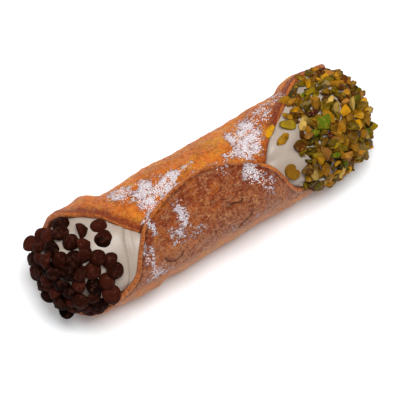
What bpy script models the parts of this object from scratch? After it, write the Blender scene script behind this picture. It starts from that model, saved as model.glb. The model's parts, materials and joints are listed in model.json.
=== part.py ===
"""A cannolo: a rolled and fried pastry shell, ricotta cream from end to end, and a topping on each end.

The shell is one oval sheet of dough rolled round a tube, so its outer flap laps over its inner flap along the
front, and both mouths are cut back there. +X points to the pistachio end, -X to the chocolate end, +Z up.
An angle runs round the tube from the front (-Y) over the top (+Z). A roll angle is measured on the sheet from
its centreline: positive towards the outer flap, negative towards the inner flap.
"""

import math

import bmesh
import bpy
from mathutils import Vector

MM = 0.001

# The tube
TUBE_RADIUS = 17.4 * MM  # to the outside of a single wall
WALL = 2.2 * MM
FLAT_DEPTH = 0.4 * MM  # how far the dough is pressed flat underneath
AXIS_Y = -0.4 * MM
AXIS_HEIGHT = TUBE_RADIUS - FLAT_DEPTH
FLARE_ANGLE = math.radians(156)  # both mouths open out at the upper back
WAVE = 0.25 * MM  # how uneven the tube is along its length
WAVE_LENGTH = 41 * MM

SHEET_CENTRE_ANGLE = math.radians(247)  # where the sheet's centreline lies, round the tube

# The sheet of dough, as places along (mm) and roll angles (degrees) of its edge
CHOCOLATE_EDGE = (  # the same on both flaps
    (-59, 0),
    (-57, 30),
    (-53.5, 60),
    (-50, 90),
    (-46.5, 112),
    (-42, 130),
    (-37.8, 145),
    (-34.7, 160),
    (-31.3, 174),
    (-27, 187),
    (-19, 197),
    (-11, 203),
)
PISTACHIO_EDGE_OUTER_FLAP = (
    (58, 0),
    (53.5, 30),
    (45.5, 58),
    (36.5, 86),
    (31, 110),
    (26, 128),
    (23.2, 143),
    (21.3, 160),
    (18.5, 175),
    (12, 189),
    (5, 200),
    (-3, 205),
)
PISTACHIO_EDGE_INNER_FLAP = (
    (60, -28),
    (61, -55),
    (60.5, -77),
    (58, -90),
    (49.5, -104),
    (41, -119),
    (35.5, -134),
    (30.5, -149),
    (25.5, -163),
    (20.5, -176),
    (14, -190),
    (6, -201),
    (-3, -205),
)
CURVE_STEPS = 6  # points of the smooth edge between two of those
FLAP_GAP = 0.35 * MM
CLIMB_START = math.radians(108)  # where the outer flap begins to climb over the inner one
CLIMB_END = math.radians(148)
RIM_ROUND = 0.7 * MM
SHEET_CELLS_ALONG = 24
SHEET_CELLS_ROUND = 38

# Blisters and hollows of the fried dough: place along, angle in degrees, half-length, half-width, rise
BLISTERS = (
    (-37 * MM, 150, 6 * MM, 12 * MM, 0.5 * MM),
    (-48 * MM, 154, 6 * MM, 10 * MM, 0.7 * MM),
    (-50 * MM, 328, 9 * MM, 12 * MM, -0.7 * MM),
    (-15 * MM, 148, 13 * MM, 11 * MM, 1.0 * MM),
    (27 * MM, 146, 11 * MM, 9 * MM, 0.7 * MM),
    (46 * MM, 152, 7 * MM, 9 * MM, 0.8 * MM),
    (-33 * MM, 345, 7 * MM, 7 * MM, 0.5 * MM),
    (-17 * MM, 8, 8 * MM, 7 * MM, 0.9 * MM),
    (8 * MM, 30, 9 * MM, 7 * MM, 0.7 * MM),
    (13 * MM, 340, 12 * MM, 9 * MM, -0.7 * MM),
    (-25 * MM, 338, 5 * MM, 7 * MM, -0.6 * MM),
    (10 * MM, 205, 12 * MM, 8 * MM, 0.9 * MM),
    (-30 * MM, 200, 9 * MM, 7 * MM, 0.7 * MM),
    (36 * MM, 215, 9 * MM, 8 * MM, 0.8 * MM),
)

# The cream fills the tube and swells in the mouths
CLEARANCE = 0.5 * MM  # between neighbouring solids, of which their flat faces take a part
RIM_CLEARANCE = 1.6 * MM  # between the rim and where the cream begins to swell
FLAP_CLEARANCE = 3.5 * MM  # the same, under the outer flap
FLAP_FILL = 0.8  # how much of the space under the outer flap it fills
MOUTH_BULGE = 1.5 * MM  # how far the cream swells where no dough covers it
SWELL_LENGTH = 4.0 * MM
CREAM_SEGMENTS = 38
CREAM_RINGS = 32
CREAM_RING_SPREAD = 0.75  # below 1 there are fewer rings in the middle than in the mouths

# Each end: which way it faces, its flare, its dome of cream and its topping
# shoulder, tip: where the dome begins and ends; squareness: how blunt it is; lean: how far its tip sits to
# the upper back. bed, lump: how thick the topping is between and on its pieces. bare: the cream that it
# leaves clear of the rim at the bare angle, and less and less up to the bare spread on either side.
ENDS = {
    "chocolate": {
        "side": -1,
        "flare": 2.4 * MM,
        "flare_start": 31 * MM,
        "flare_length": 7 * MM,
        "shoulder": -37 * MM,
        "tip": -60.8 * MM,
        "squareness": 2.6,
        "lean": 3 * MM,
        "bed": 1.0 * MM,
        "lump": 1.7 * MM,
        "lump_radius": 4.2 * MM,
        "lumps": 52,
        "bare": 9 * MM,
        "bare_angle": math.radians(66),
        "bare_spread": math.radians(58),
    },
    "pistachio": {
        "side": 1,
        "flare": 1.6 * MM,
        "flare_start": 36 * MM,
        "flare_length": 8 * MM,
        "shoulder": 36 * MM,
        "tip": 61.2 * MM,
        "squareness": 3.7,
        "lean": 3.6 * MM,
        "bed": 0.9 * MM,
        "lump": 1.3 * MM,
        "lump_radius": 2.7 * MM,
        "lumps": 120,
        "bare": 9 * MM,
        "bare_angle": math.radians(62),
        "bare_spread": math.radians(72),
    },
}
TOPPING_EDGE = 2.0 * MM  # how far a topping stays off the rim
TOPPING_ROOM = 2.4 * MM  # what the cream leaves for it where the shell reaches out past the dome
TOPPING_ROOM_START = 46 * MM
TOPPING_GAP = 0.6 * MM  # between it and the cream, more than the clearance as both have flat faces
TOPPING_LIP = 0.3 * MM  # how thick it is at its edge
TOPPING_DEPTH = 6 * MM  # how far it reaches down the dome at least
DOME_DEPTH = 16 * MM  # how far inside its tip a dome has its middle
TOPPING_SEGMENTS = 32
TOPPING_RINGS = 20
GOLDEN_ANGLE = math.radians(137.508)

CRUST_COLOUR = (0.42, 0.15, 0.035, 1)
CREAM_COLOUR = (0.80, 0.74, 0.62, 1)
CHOCOLATE_COLOUR = (0.045, 0.015, 0.008, 1)
PISTACHIO_COLOUR = (0.30, 0.24, 0.03, 1)


def smooth(value):
    """0 below 0, 1 above 1, and an even S between."""
    t = min(max(value, 0.0), 1.0)
    return t * t * (3 - 2 * t)


def turned_into(angle, low):
    """The same direction as an angle from low up to a full turn above it."""
    return low + (angle - low) % math.tau


def edge_curve():
    """The sheet's whole edge as a smooth closed curve of places along and roll angles."""
    outer = [*PISTACHIO_EDGE_OUTER_FLAP, *reversed(CHOCOLATE_EDGE)]
    inner = [(x, -roll) for x, roll in CHOCOLATE_EDGE[1:]]
    corners = [*outer, *inner, *reversed(PISTACHIO_EDGE_INNER_FLAP)]
    curve = []
    for k in range(len(corners)):
        a, b, c, d = (Vector(corners[(k + j) % len(corners)]) for j in (-1, 0, 1, 2))
        for step in range(CURVE_STEPS):
            t = step / CURVE_STEPS
            bend = (c - a) * t + (2 * a - 5 * b + 4 * c - d) * t * t
            bend += (3 * b - a - 3 * c + d) * t**3
            x, roll = b + bend / 2
            curve.append((x * MM, math.radians(roll)))
    return curve


EDGE = edge_curve()
EDGE_LENGTH, EDGE_ROLL = 60 * MM, math.radians(205)  # these scale the sheet to about a disc


def edge_by_direction():
    """The edge as directions seen from the sheet's middle and distances from it, in order."""
    seen = []
    for x, roll in EDGE:
        across, round_ = x / EDGE_LENGTH, roll / EDGE_ROLL
        seen.append((math.atan2(round_, across), math.hypot(across, round_)))
    seen.sort()
    first, last = seen[0], seen[-1]
    return [(last[0] - math.tau, last[1]), *seen, (first[0] + math.tau, first[1])]


EDGE_SEEN = edge_by_direction()


def between(pairs, value):
    """The second number of a list of pairs at this value of the first, in a straight line between two."""
    for (low, at_low), (high, at_high) in zip(pairs, pairs[1:]):
        if low <= value <= high and high > low:
            return at_low + (at_high - at_low) * (value - low) / (high - low)
    return pairs[0][1] if value < pairs[0][0] else pairs[-1][1]


RIMS = {
    "chocolate": sorted((roll, x) for x, roll in EDGE if x < -3 * MM),
    "pistachio": sorted((roll, x) for x, roll in EDGE if x > -3 * MM),
}


def rim_x(name, roll):
    """Where the sheet of dough ends towards this mouth, at this roll angle."""
    return between(RIMS[name], roll)


def tube_radius(x, angle):
    """Outside of the single wall, with the flare of the mouths and the tube's unevenness."""
    end = ENDS["pistachio" if x > 0 else "chocolate"]
    open_mouth = smooth((abs(x) - end["flare_start"]) / end["flare_length"])
    facing = 0.5 + 0.5 * math.cos(angle - FLARE_ANGLE)
    wave = math.sin(math.tau * x / WAVE_LENGTH + 2 * math.sin(angle))
    return TUBE_RADIUS + end["flare"] * open_mouth * facing**1.5 + WAVE * wave


def climb(roll):
    """How far the outer flap has risen over the inner one at this roll angle."""
    return (WALL + FLAP_GAP) * smooth((roll - CLIMB_START) / (CLIMB_END - CLIMB_START))


def blister_height(x, angle):
    """How far the blisters and hollows move the dough out at this place."""
    height = 0.0
    for centre_x, degrees, half_length, half_width, rise in BLISTERS:
        turn = turned_into(angle - math.radians(degrees), -math.pi)
        along = (x - centre_x) / half_length
        across = TUBE_RADIUS * turn / half_width
        height += rise * smooth(1.15 - math.hypot(along, across))
    return height


def place(x, angle, radius):
    """A point at this distance from the tube's axis."""
    return Vector(
        (
            x,
            AXIS_Y - radius * math.cos(angle),
            AXIS_HEIGHT + radius * math.sin(angle),
        )
    )


def shell_surface_point(u, v):
    """A point on the outside of the rolled shell, from a square of -1 to 1; pressed flat where it rests."""
    across, round_ = u * math.sqrt(1 - v * v / 2), v * math.sqrt(1 - u * u / 2)
    out = between(EDGE_SEEN, math.atan2(round_, across))
    x, roll = across * out * EDGE_LENGTH, round_ * out * EDGE_ROLL
    angle = SHEET_CENTRE_ANGLE + roll
    hidden = smooth((-roll - CLIMB_END) / math.radians(12))  # the inner flap stays smooth
    blister = blister_height(x, angle) * (1 - hidden)
    point = place(x, angle, tube_radius(x, angle) + climb(roll) + blister)
    point.z = max(point.z, 0.0)
    return point


def distance_from_edge(x, angle, on_climb):
    """How far a place lies from the rim of the sheet's climbing stretch, or of all the rest of it."""
    roll = angle - SHEET_CENTRE_ANGLE
    return min(
        math.hypot(x - edge_x, TUBE_RADIUS * turned_into(roll - edge_roll, -math.pi))
        for edge_x, edge_roll in EDGE
        if (edge_roll > CLIMB_START) == on_climb
    )


def distance_from_dough(x, angle):
    """How far a place on the cream lies from the dough that presses on it, and 0 under that dough."""
    roll = turned_into(angle - SHEET_CENTRE_ANGLE, -EDGE_ROLL)
    if roll < CLIMB_START and rim_x("chocolate", roll) < x < rim_x("pistachio", roll):
        return 0.0
    nearest = distance_from_edge(x, angle, on_climb=False)
    if CLIMB_START <= roll:
        nearest = min(nearest, TUBE_RADIUS * (roll - CLIMB_START))
    return nearest


def room_radius(x, angle):
    """How far out the cream may reach under the dough."""
    uneven = tube_radius(x, angle) - TUBE_RADIUS
    hollow = min(blister_height(x, angle), 0)
    return TUBE_RADIUS + min(uneven, uneven / 2) + hollow - WALL - CLEARANCE


def cream_radius(x, angle):
    """The cream fills the roll, rises under the outer flap, and swells in the mouths."""
    roll = turned_into(angle - SHEET_CENTRE_ANGLE, EDGE_ROLL - math.tau)
    covered = rim_x("chocolate", roll) < x < rim_x("pistachio", roll)
    away = distance_from_dough(x, angle)
    swell = FLAP_FILL * climb(roll) * smooth((away - FLAP_CLEARANCE) / SWELL_LENGTH)
    if not covered:
        away = min(away, distance_from_edge(x, angle, on_climb=True))
        more = max(MOUTH_BULGE - swell, 0)
        swell += more * smooth((away - RIM_CLEARANCE) / SWELL_LENGTH)
    return room_radius(x, angle) + swell


def held_in(point, thickness=0.0):
    """The point, drawn in where it and what lies that thick on it would touch the dough round it."""
    across, up = point.y - AXIS_Y, point.z - AXIS_HEIGHT
    radius, angle = math.hypot(across, up), math.atan2(up, -across)
    roll = turned_into(angle - SHEET_CENTRE_ANGLE, -EDGE_ROLL)
    if rim_x("chocolate", roll) - RIM_CLEARANCE < point.x < rim_x("pistachio", roll) + RIM_CLEARANCE:
        limit = room_radius(point.x, angle) - thickness
        if radius > limit and roll < CLIMB_START:
            return place(point.x, angle, limit)
    return point


def cream_point(x, angle):
    """A point on the cream."""
    end = ENDS["pistachio" if x > 0 else "chocolate"]
    out = (x - end["shoulder"]) / (end["tip"] - end["shoulder"])
    out = min(max(out, 0.0), 1.0)
    share = (1 - out ** end["squareness"]) ** (1 / end["squareness"])
    lean = end["lean"] * out**3
    point = place(x, angle, cream_radius(x, angle) * share)
    point.y -= lean * math.cos(FLARE_ANGLE)
    point.z += lean * math.sin(FLARE_ANGLE)
    room = TOPPING_ROOM * smooth((abs(x) - TOPPING_ROOM_START) / TOPPING_ROOM)
    point = held_in(point, room)
    point.z = max(point.z, WALL + CLEARANCE)
    return point


def topping_edge_x(name, angle):
    """Where a topping stops, near the rim or where bare cream begins."""
    end = ENDS[name]
    roll = turned_into(angle - SHEET_CENTRE_ANGLE, -math.pi)
    turn = turned_into(angle - end["bare_angle"], -math.pi)
    bare = end["bare"] * smooth(1 - abs(turn) / end["bare_spread"])
    out = abs(rim_x(name, roll)) + TOPPING_EDGE + bare
    return end["side"] * min(out, abs(end["tip"]) - TOPPING_DEPTH)


def bed_point(name, angle, share):
    """A point on the cream under a topping: share 0 at the dome's tip, 1 at the topping's edge."""
    tip = ENDS[name]["tip"]
    x = tip + (topping_edge_x(name, angle) - tip) * (1 - math.cos(share * math.pi / 2))
    return cream_point(x, angle)


def way_out(name, point):
    """Which way a topping lies on the cream here: straight out of the tube, and all round its dome."""
    core_x = ENDS[name]["side"] * min(abs(point.x), abs(ENDS[name]["tip"]) - DOME_DEPTH)
    return (point - Vector((core_x, AXIS_Y, AXIS_HEIGHT))).normalized()


def lump_centres(name):
    """Where the pieces of a topping lie, spread evenly over the dome by the golden angle."""
    count = ENDS[name]["lumps"]
    return [
        bed_point(name, k * GOLDEN_ANGLE, math.sqrt((k + 0.5) / count))
        for k in range(count)
    ]


def topping_depth(name, point, centres):
    """How thick a topping is over a point of the cream: a bed, and a lump for each piece."""
    end = ENDS[name]
    nearest = min((point - centre).length for centre in centres)
    return end["bed"] + end["lump"] * smooth(1.2 - nearest / end["lump_radius"])


def material(name, colour, roughness):
    """A plain finish in the part's own colour."""
    made = bpy.data.materials.new(name)
    made.use_nodes = True
    shader = made.node_tree.nodes["Principled BSDF"]
    shader.inputs["Base Color"].default_value = colour
    shader.inputs["Roughness"].default_value = roughness
    shader.inputs["Metallic"].default_value = 0
    return made


def finish(name, made, collection, finish_material):
    """Turns a bmesh into a named object with its faces pointing out."""
    made.normal_update()
    bmesh.ops.recalc_face_normals(made, faces=made.faces)
    mesh = bpy.data.meshes.new(name)
    made.to_mesh(mesh)
    made.free()
    mesh.materials.append(finish_material)
    mesh.shade_smooth()
    piece = bpy.data.objects.new(name, mesh)
    collection.objects.link(piece)
    return piece


def make_shell(collection):
    """A grid rolled into the sheet's shape, thickened inwards, with a rounded rim."""
    made = bmesh.new()
    bmesh.ops.create_grid(
        made, x_segments=SHEET_CELLS_ALONG, y_segments=SHEET_CELLS_ROUND, size=1
    )
    for vertex in made.verts:
        vertex.co = shell_surface_point(vertex.co.x, vertex.co.y)
    mesh = bpy.data.meshes.new("shell")
    made.to_mesh(mesh)
    made.free()
    mesh.materials.append(material("fried_dough", CRUST_COLOUR, 0.6))
    mesh.shade_smooth()
    shell = bpy.data.objects.new("shell", mesh)
    collection.objects.link(shell)
    wall = shell.modifiers.new("wall", "SOLIDIFY")
    wall.thickness = WALL
    wall.offset = -1
    rim = shell.modifiers.new("rim", "BEVEL")
    rim.width = RIM_ROUND
    rim.segments = 2
    rim.limit_method = "ANGLE"
    rim.angle_limit = math.radians(50)
    return shell


def make_cream(collection):
    """A sphere drawn out along the tube and shaped to the inside of the shell."""
    made = bmesh.new()
    bmesh.ops.create_uvsphere(
        made, u_segments=CREAM_SEGMENTS, v_segments=CREAM_RINGS, radius=1
    )
    low, high = ENDS["chocolate"]["tip"], ENDS["pistachio"]["tip"]
    for vertex in made.verts:
        height = min(max(vertex.co.z, -1.0), 1.0)
        ring = abs(math.asin(height) / (math.pi / 2)) ** CREAM_RING_SPREAD
        along = math.copysign(math.sin(ring * math.pi / 2), height)
        x = (low + high) / 2 + along * (high - low) / 2
        vertex.co = cream_point(x, math.atan2(vertex.co.y, vertex.co.x))
    return finish("cream", made, collection, material("ricotta_cream", CREAM_COLOUR, 0.45))


def make_topping(collection, name, node, finish_material):
    """A sphere folded into a lumpy cap: its upper half is the outside, its lower half lies on the cream."""
    made = bmesh.new()
    bmesh.ops.create_uvsphere(
        made, u_segments=TOPPING_SEGMENTS, v_segments=TOPPING_RINGS, radius=1
    )
    centres = lump_centres(name)
    for vertex in made.verts:
        height = min(max(vertex.co.z, -1.0), 1.0)
        share = 1 - abs(math.asin(height)) / (math.pi / 2)
        angle = math.atan2(vertex.co.y, vertex.co.x)
        foot = bed_point(name, angle, share)
        lift = TOPPING_GAP * (1 + share)
        if height > -1e-6:
            edge = math.sqrt(max(1 - share**4, 0.0))
            lift += TOPPING_LIP + topping_depth(name, foot, centres) * edge
        vertex.co = held_in(foot + way_out(name, foot) * lift, CLEARANCE)
    return finish(node, made, collection, finish_material)


def main():
    """Clears the scene and makes the four pieces."""
    for old in list(bpy.data.objects):
        bpy.data.objects.remove(old)
    cannolo = bpy.data.collections.new("cannolo")
    bpy.context.scene.collection.children.link(cannolo)
    make_shell(cannolo)
    make_cream(cannolo)
    make_topping(
        cannolo,
        "chocolate",
        "chocolate_chips",
        material("dark_chocolate", CHOCOLATE_COLOUR, 0.5),
    )
    make_topping(
        cannolo,
        "pistachio",
        "pistachio_pieces",
        material("chopped_pistachio", PISTACHIO_COLOUR, 0.6),
    )


main()
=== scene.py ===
"""The looks of a filled cannolo: fried dough under icing sugar, ricotta cream, chocolate chips and chopped pistachio.

It is laid out as an add-on and run as a script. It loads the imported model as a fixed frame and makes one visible
piece of each material round it, then the stage. +X points to the pistachio end and -Y to the front.

An angle runs round the tube from the front over the top. A roll angle is measured on the sheet of dough from its
centreline: positive towards the outer flap, negative towards the inner flap. Places on the tube are given along it
in millimetres and round it in degrees.
"""

import json
import math

import bmesh
import bpy
import numpy as np
from mathutils import Matrix, Vector, noise
from mathutils.bvhtree import BVHTree

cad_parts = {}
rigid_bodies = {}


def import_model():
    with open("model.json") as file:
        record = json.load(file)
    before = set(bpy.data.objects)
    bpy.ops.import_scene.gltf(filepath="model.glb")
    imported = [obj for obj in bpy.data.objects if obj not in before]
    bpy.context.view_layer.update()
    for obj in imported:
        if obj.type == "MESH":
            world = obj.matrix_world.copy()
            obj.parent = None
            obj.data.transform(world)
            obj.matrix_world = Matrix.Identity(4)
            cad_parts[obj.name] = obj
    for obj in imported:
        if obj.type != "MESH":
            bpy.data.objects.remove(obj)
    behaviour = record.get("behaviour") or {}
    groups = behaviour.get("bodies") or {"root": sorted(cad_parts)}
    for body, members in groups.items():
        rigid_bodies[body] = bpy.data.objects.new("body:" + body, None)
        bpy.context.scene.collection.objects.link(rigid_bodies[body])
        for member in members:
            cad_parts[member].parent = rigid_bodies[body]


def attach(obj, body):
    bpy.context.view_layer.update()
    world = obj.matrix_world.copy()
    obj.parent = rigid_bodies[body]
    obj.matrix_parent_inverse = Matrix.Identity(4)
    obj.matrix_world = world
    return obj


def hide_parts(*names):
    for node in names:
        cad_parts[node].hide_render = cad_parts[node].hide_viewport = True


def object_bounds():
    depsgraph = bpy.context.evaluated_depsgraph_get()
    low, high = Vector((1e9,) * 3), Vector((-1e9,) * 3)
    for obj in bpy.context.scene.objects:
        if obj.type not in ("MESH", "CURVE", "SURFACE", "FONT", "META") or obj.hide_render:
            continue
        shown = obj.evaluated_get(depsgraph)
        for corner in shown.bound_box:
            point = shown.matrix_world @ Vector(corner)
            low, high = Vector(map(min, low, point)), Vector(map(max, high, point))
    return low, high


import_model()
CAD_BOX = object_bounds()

bl_info = {
    "name": "Cannolo looks",
    "version": (1, 0, 0),
    "blender": (4, 5, 0),
    "location": "3D View > Sidebar > Cannolo",
    "description": "Makes the visible pieces of a filled cannolo round its packed model",
    "category": "Object",
}

MM = 0.001

# The tube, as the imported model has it
TUBE_RADIUS = 17.4 * MM
WALL = 2.2 * MM
AXIS_Y = -0.4 * MM
AXIS_HEIGHT = 17.0 * MM
FLARE_ANGLE = math.radians(156)
WAVE = 0.25 * MM
WAVE_LENGTH = 41 * MM
SHEET_CENTRE_ANGLE = math.radians(247)
FLAP_RISE = 2.55 * MM
CLIMB_START = math.radians(108)
CLIMB_END = math.radians(148)
EDGE_LENGTH, EDGE_ROLL = 60 * MM, math.radians(205)

# The edge of the sheet of dough: along in mm, roll in degrees
CHOCOLATE_EDGE = (
    (-59, 0), (-57, 30), (-53.5, 60), (-50, 90), (-46.5, 112), (-42, 130),
    (-37.8, 145), (-34.7, 160), (-31.3, 174), (-27, 187), (-19, 197), (-11, 203),
)
PISTACHIO_EDGE_OUTER_FLAP = (
    (58, 0), (53.5, 30), (45.5, 58), (36.5, 86), (31, 110), (26, 128),
    (23.2, 143), (21.3, 160), (18.5, 175), (12, 189), (5, 200), (-3, 205),
)
PISTACHIO_EDGE_INNER_FLAP = (
    (60, -28), (61, -55), (60.5, -77), (58, -90), (49.5, -104), (41, -119), (35.5, -134),
    (30.5, -149), (26, -163), (22.5, -175), (19, -186), (12, -197), (-3, -205),
)
CURVE_STEPS = 24

# Blisters and hollows: along, round, half-length and half-width in mm, rise in mm
BLISTERS = (
    (-37, 150, 6, 12, 0.5), (-48, 154, 6, 10, 0.7), (-50, 328, 9, 12, -0.7),
    (-15, 148, 13, 11, 1.0), (27, 146, 11, 9, 0.7), (46, 152, 7, 9, 0.8),
    (-33, 345, 7, 7, 0.5), (-17, 8, 8, 7, 0.9), (8, 30, 9, 7, 0.7),
    (13, 340, 12, 9, -0.7), (-25, 338, 5, 7, -0.6), (10, 205, 12, 8, 0.9),
    (-30, 200, 9, 7, 0.7), (36, 215, 9, 8, 0.8),
)

# How each mouth flares, and its dome of cream
ENDS = {
    "chocolate": {
        "flare": 2.4 * MM, "flare_start": 31 * MM, "flare_length": 7 * MM,
        "shoulder": -37 * MM, "tip": -60.8 * MM, "squareness": 2.6, "lean": 3.0 * MM,
    },
    "pistachio": {
        "flare": 1.6 * MM, "flare_start": 36 * MM, "flare_length": 8 * MM,
        "shoulder": 36 * MM, "tip": 61.2 * MM, "squareness": 3.7, "lean": 3.6 * MM,
    },
}


# ---------------------------------------------------------------------------------------------------------------
# Shared helpers


def linear(hex_colour):
    """An sRGB hex colour as linear RGBA."""
    channels = [int(hex_colour[k : k + 2], 16) / 255 for k in (0, 2, 4)]
    return (*[c / 12.92 if c <= 0.04045 else ((c + 0.055) / 1.055) ** 2.4 for c in channels], 1.0)


def colour(name, hex_colour, description):
    """A colour that a user can change."""
    return bpy.props.FloatVectorProperty(
        name=name, description=description, subtype="COLOR", size=4, min=0, max=1, default=linear(hex_colour)
    )


def length(name, millimetres, description):
    """A length that a user can change."""
    return bpy.props.FloatProperty(name=name, description=description, unit="LENGTH", default=millimetres * MM)


def share(name, value, description):
    """A plain number that a user can change."""
    return bpy.props.FloatProperty(name=name, description=description, default=value)


def count(name, value, description):
    """A whole number that a user can change."""
    return bpy.props.IntProperty(name=name, description=description, default=value, min=0)


def socket(sockets, key):
    """The socket in use with this name, or the one with this number."""
    return sockets[key] if isinstance(key, int) else next(s for s in sockets if s.enabled and s.name == key)


def add(tree, kind, inputs=None, **settings):
    """Adds a node to a tree with its settings, and sets its inputs or links them to a socket or a node's output."""
    node = tree.nodes.new(kind)
    for key, value in settings.items():
        setattr(node, key, value)
    for key, value in (inputs or {}).items():
        if isinstance(value, bpy.types.Node):
            value = next(s for s in value.outputs if s.enabled)
        if isinstance(value, bpy.types.NodeSocket):
            tree.links.new(value, socket(node.inputs, key))
        else:
            socket(node.inputs, key).default_value = value
    return node


def smooth(value):
    """0 below 0, 1 above 1, and an even S between."""
    t = np.clip(value, 0.0, 1.0)
    return t * t * (3 - 2 * t)


def turned_into(angle, low):
    """The same direction as an angle from low up to a full turn above it."""
    return low + (angle - low) % math.tau


def scaled_noise(points, size, offset):
    """Smooth noise of -1 to 1 at many points, with features of this size; the offset picks another pattern."""
    return np.array([noise.noise(Vector(p) / size + Vector((offset, 0, 0))) for p in points])


def new_object(name, mesh):
    """A mesh as an object in the scene, with its place in its mesh."""
    made = bpy.data.objects.new(name, mesh)
    bpy.context.scene.collection.objects.link(made)
    return made


def settled(made, name):
    """The object as its Geometry Nodes leave it, as a plain mesh of its own; the old object is removed."""
    evaluated = made.evaluated_get(bpy.context.evaluated_depsgraph_get())
    mesh = bpy.data.meshes.new_from_object(evaluated)
    mesh.name = name
    bpy.data.objects.remove(made)
    return new_object(name, mesh)


def with_nodes(made, tree, values):
    """Gives an object a Geometry Nodes modifier and sets the tree's named inputs by their identifiers."""
    modifier = made.modifiers.new(tree.name, "NODES")
    modifier.node_group = tree
    for item in tree.interface.items_tree:
        if item.in_out == "INPUT" and item.name in values:
            modifier[item.identifier] = values[item.name]


def node_tree(name, sockets):
    """A Geometry Nodes tree with a geometry in and out and these named inputs, and its input node."""
    tree = bpy.data.node_groups.new(name, "GeometryNodeTree")
    tree.interface.new_socket("Geometry", in_out="OUTPUT", socket_type="NodeSocketGeometry")
    tree.interface.new_socket("Geometry", in_out="INPUT", socket_type="NodeSocketGeometry")
    for label, kind in sockets.items():
        tree.interface.new_socket(label, in_out="INPUT", socket_type=kind)
    return tree, add(tree, "NodeGroupInput")


def belongs(made, *nodes):
    """A finished piece rides on the one body, and hides these CAD nodes if it is named after the first one."""
    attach(made, "root")
    if made.name == nodes[0] + "_look":
        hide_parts(*nodes)


# ---------------------------------------------------------------------------------------------------------------
# The form: the sheet of dough, and the cream


def edge_curve():
    """The sheet's whole edge as a smooth closed curve of places along and roll angles."""
    outer = [*PISTACHIO_EDGE_OUTER_FLAP, *reversed(CHOCOLATE_EDGE)]
    inner = [(x, -roll) for x, roll in CHOCOLATE_EDGE[1:]]
    corners = np.array([*outer, *inner, *reversed(PISTACHIO_EDGE_INNER_FLAP)], float)
    a, b, c, d = (np.roll(corners, -j, axis=0)[:, None] for j in (-1, 0, 1, 2))
    t = (np.arange(CURVE_STEPS) / CURVE_STEPS)[None, :, None]
    bend = (c - a) * t + (2 * a - 5 * b + 4 * c - d) * t**2 + (3 * b - a - 3 * c + d) * t**3
    curve = (b + bend / 2).reshape(-1, 2)
    return curve[:, 0] * MM, np.radians(curve[:, 1])


EDGE_X, EDGE_ROLLS = edge_curve()
SEEN_ANGLES = np.arctan2(EDGE_ROLLS / EDGE_ROLL, EDGE_X / EDGE_LENGTH)
SEEN_DISTANCES = np.hypot(EDGE_ROLLS / EDGE_ROLL, EDGE_X / EDGE_LENGTH)


FLAT_EDGE = np.stack([EDGE_X, TUBE_RADIUS * EDGE_ROLLS], -1)  # the edge on the flattened sheet
CLIMBING = EDGE_ROLLS > CLIMB_START


def distance_to_edge(x, roll, keep=True):
    """How far places on the flattened sheet lie from its edge, or from the stretch of it that keep marks."""
    spot = np.stack([x, TUBE_RADIUS * roll], -1)
    nearest = np.full(len(spot), 1.0)
    finish = np.roll(FLAT_EDGE, -1, axis=0)
    for start, stop, kept in zip(FLAT_EDGE, finish, np.broadcast_to(keep, len(FLAT_EDGE))):
        if kept:
            run = stop - start
            t = np.clip((spot - start) @ run / (run @ run), 0, 1)[:, None]
            nearest = np.minimum(nearest, np.linalg.norm(spot - start - t * run, axis=1))
    return nearest


def rim_x(name, roll):
    """Where the sheet of dough ends towards this mouth, at these roll angles."""
    side = EDGE_X > -3 * MM if name == "pistachio" else EDGE_X < -3 * MM
    order = np.argsort(EDGE_ROLLS[side])
    return np.interp(roll, EDGE_ROLLS[side][order], EDGE_X[side][order])


def tube_radius(x, angle):
    """Outside of the single wall, with the flare of the mouths and the tube's unevenness."""
    facing = (0.5 + 0.5 * np.cos(angle - FLARE_ANGLE)) ** 1.5
    flare = np.zeros(np.shape(x))
    for side, name in ((-1, "chocolate"), (1, "pistachio")):
        end = ENDS[name]
        flare += end["flare"] * smooth((side * x - end["flare_start"]) / end["flare_length"])
    return TUBE_RADIUS + flare * facing + WAVE * np.sin(math.tau * x / WAVE_LENGTH + 2 * np.sin(angle))


def climb(roll):
    """How far the outer flap has risen over the inner one."""
    return FLAP_RISE * smooth((roll - CLIMB_START) / (CLIMB_END - CLIMB_START))


def spots(x, angle, places, fade=1.15):
    """The sum of round spots of (along, round, half-length, half-width, strength), in mm and degrees; each fades out
    at this share of its size."""
    total = np.zeros(np.shape(x))
    for along, degrees, half_length, half_width, strength in places:
        turn = turned_into(angle - math.radians(degrees), -math.pi)
        reach = np.hypot((x / MM - along) / half_length, TUBE_RADIUS / MM * turn / half_width)
        total += strength * smooth((fade - reach) / (fade - 0.15))
    return total


def place(x, angle, radius):
    """Points at these distances from the tube's axis."""
    return np.stack([x, AXIS_Y - radius * np.cos(angle), AXIS_HEIGHT + radius * np.sin(angle)], -1)


def sheet_place(u, v):
    """Places along and roll angles on the sheet, from a square of -1 to 1."""
    across, round_ = u * np.sqrt(1 - v * v / 2), v * np.sqrt(1 - u * u / 2)
    out = np.interp(np.arctan2(round_, across), SEEN_ANGLES, SEEN_DISTANCES, period=math.tau)
    return across * out * EDGE_LENGTH, round_ * out * EDGE_ROLL


def hidden_by_flap(x, roll):
    """1 where the outer flap covers this place of the inner flap."""
    above = roll + math.tau
    under = (above < EDGE_ROLL) & (x > rim_x("chocolate", above)) & (x < rim_x("pistachio", above))
    return under.astype(float)


RIM_ROWS = 13  # rows of cells round the rim
RIM_STRETCH = 0.06  # how much of the sheet's half they take up


def sheet_rows(cells):
    """Steps from -1 to 1 across the sheet, crowded at both ends for the rounded rim."""
    rim = RIM_STRETCH * (1 - np.cos(np.linspace(0, math.pi / 2, RIM_ROWS + 1)))
    middle = np.linspace(RIM_STRETCH - 1, 1 - RIM_STRETCH, cells + 1 - 2 * RIM_ROWS)
    return np.concatenate([rim[:-1] - 1, middle, 1 - rim[-2::-1]])


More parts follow.
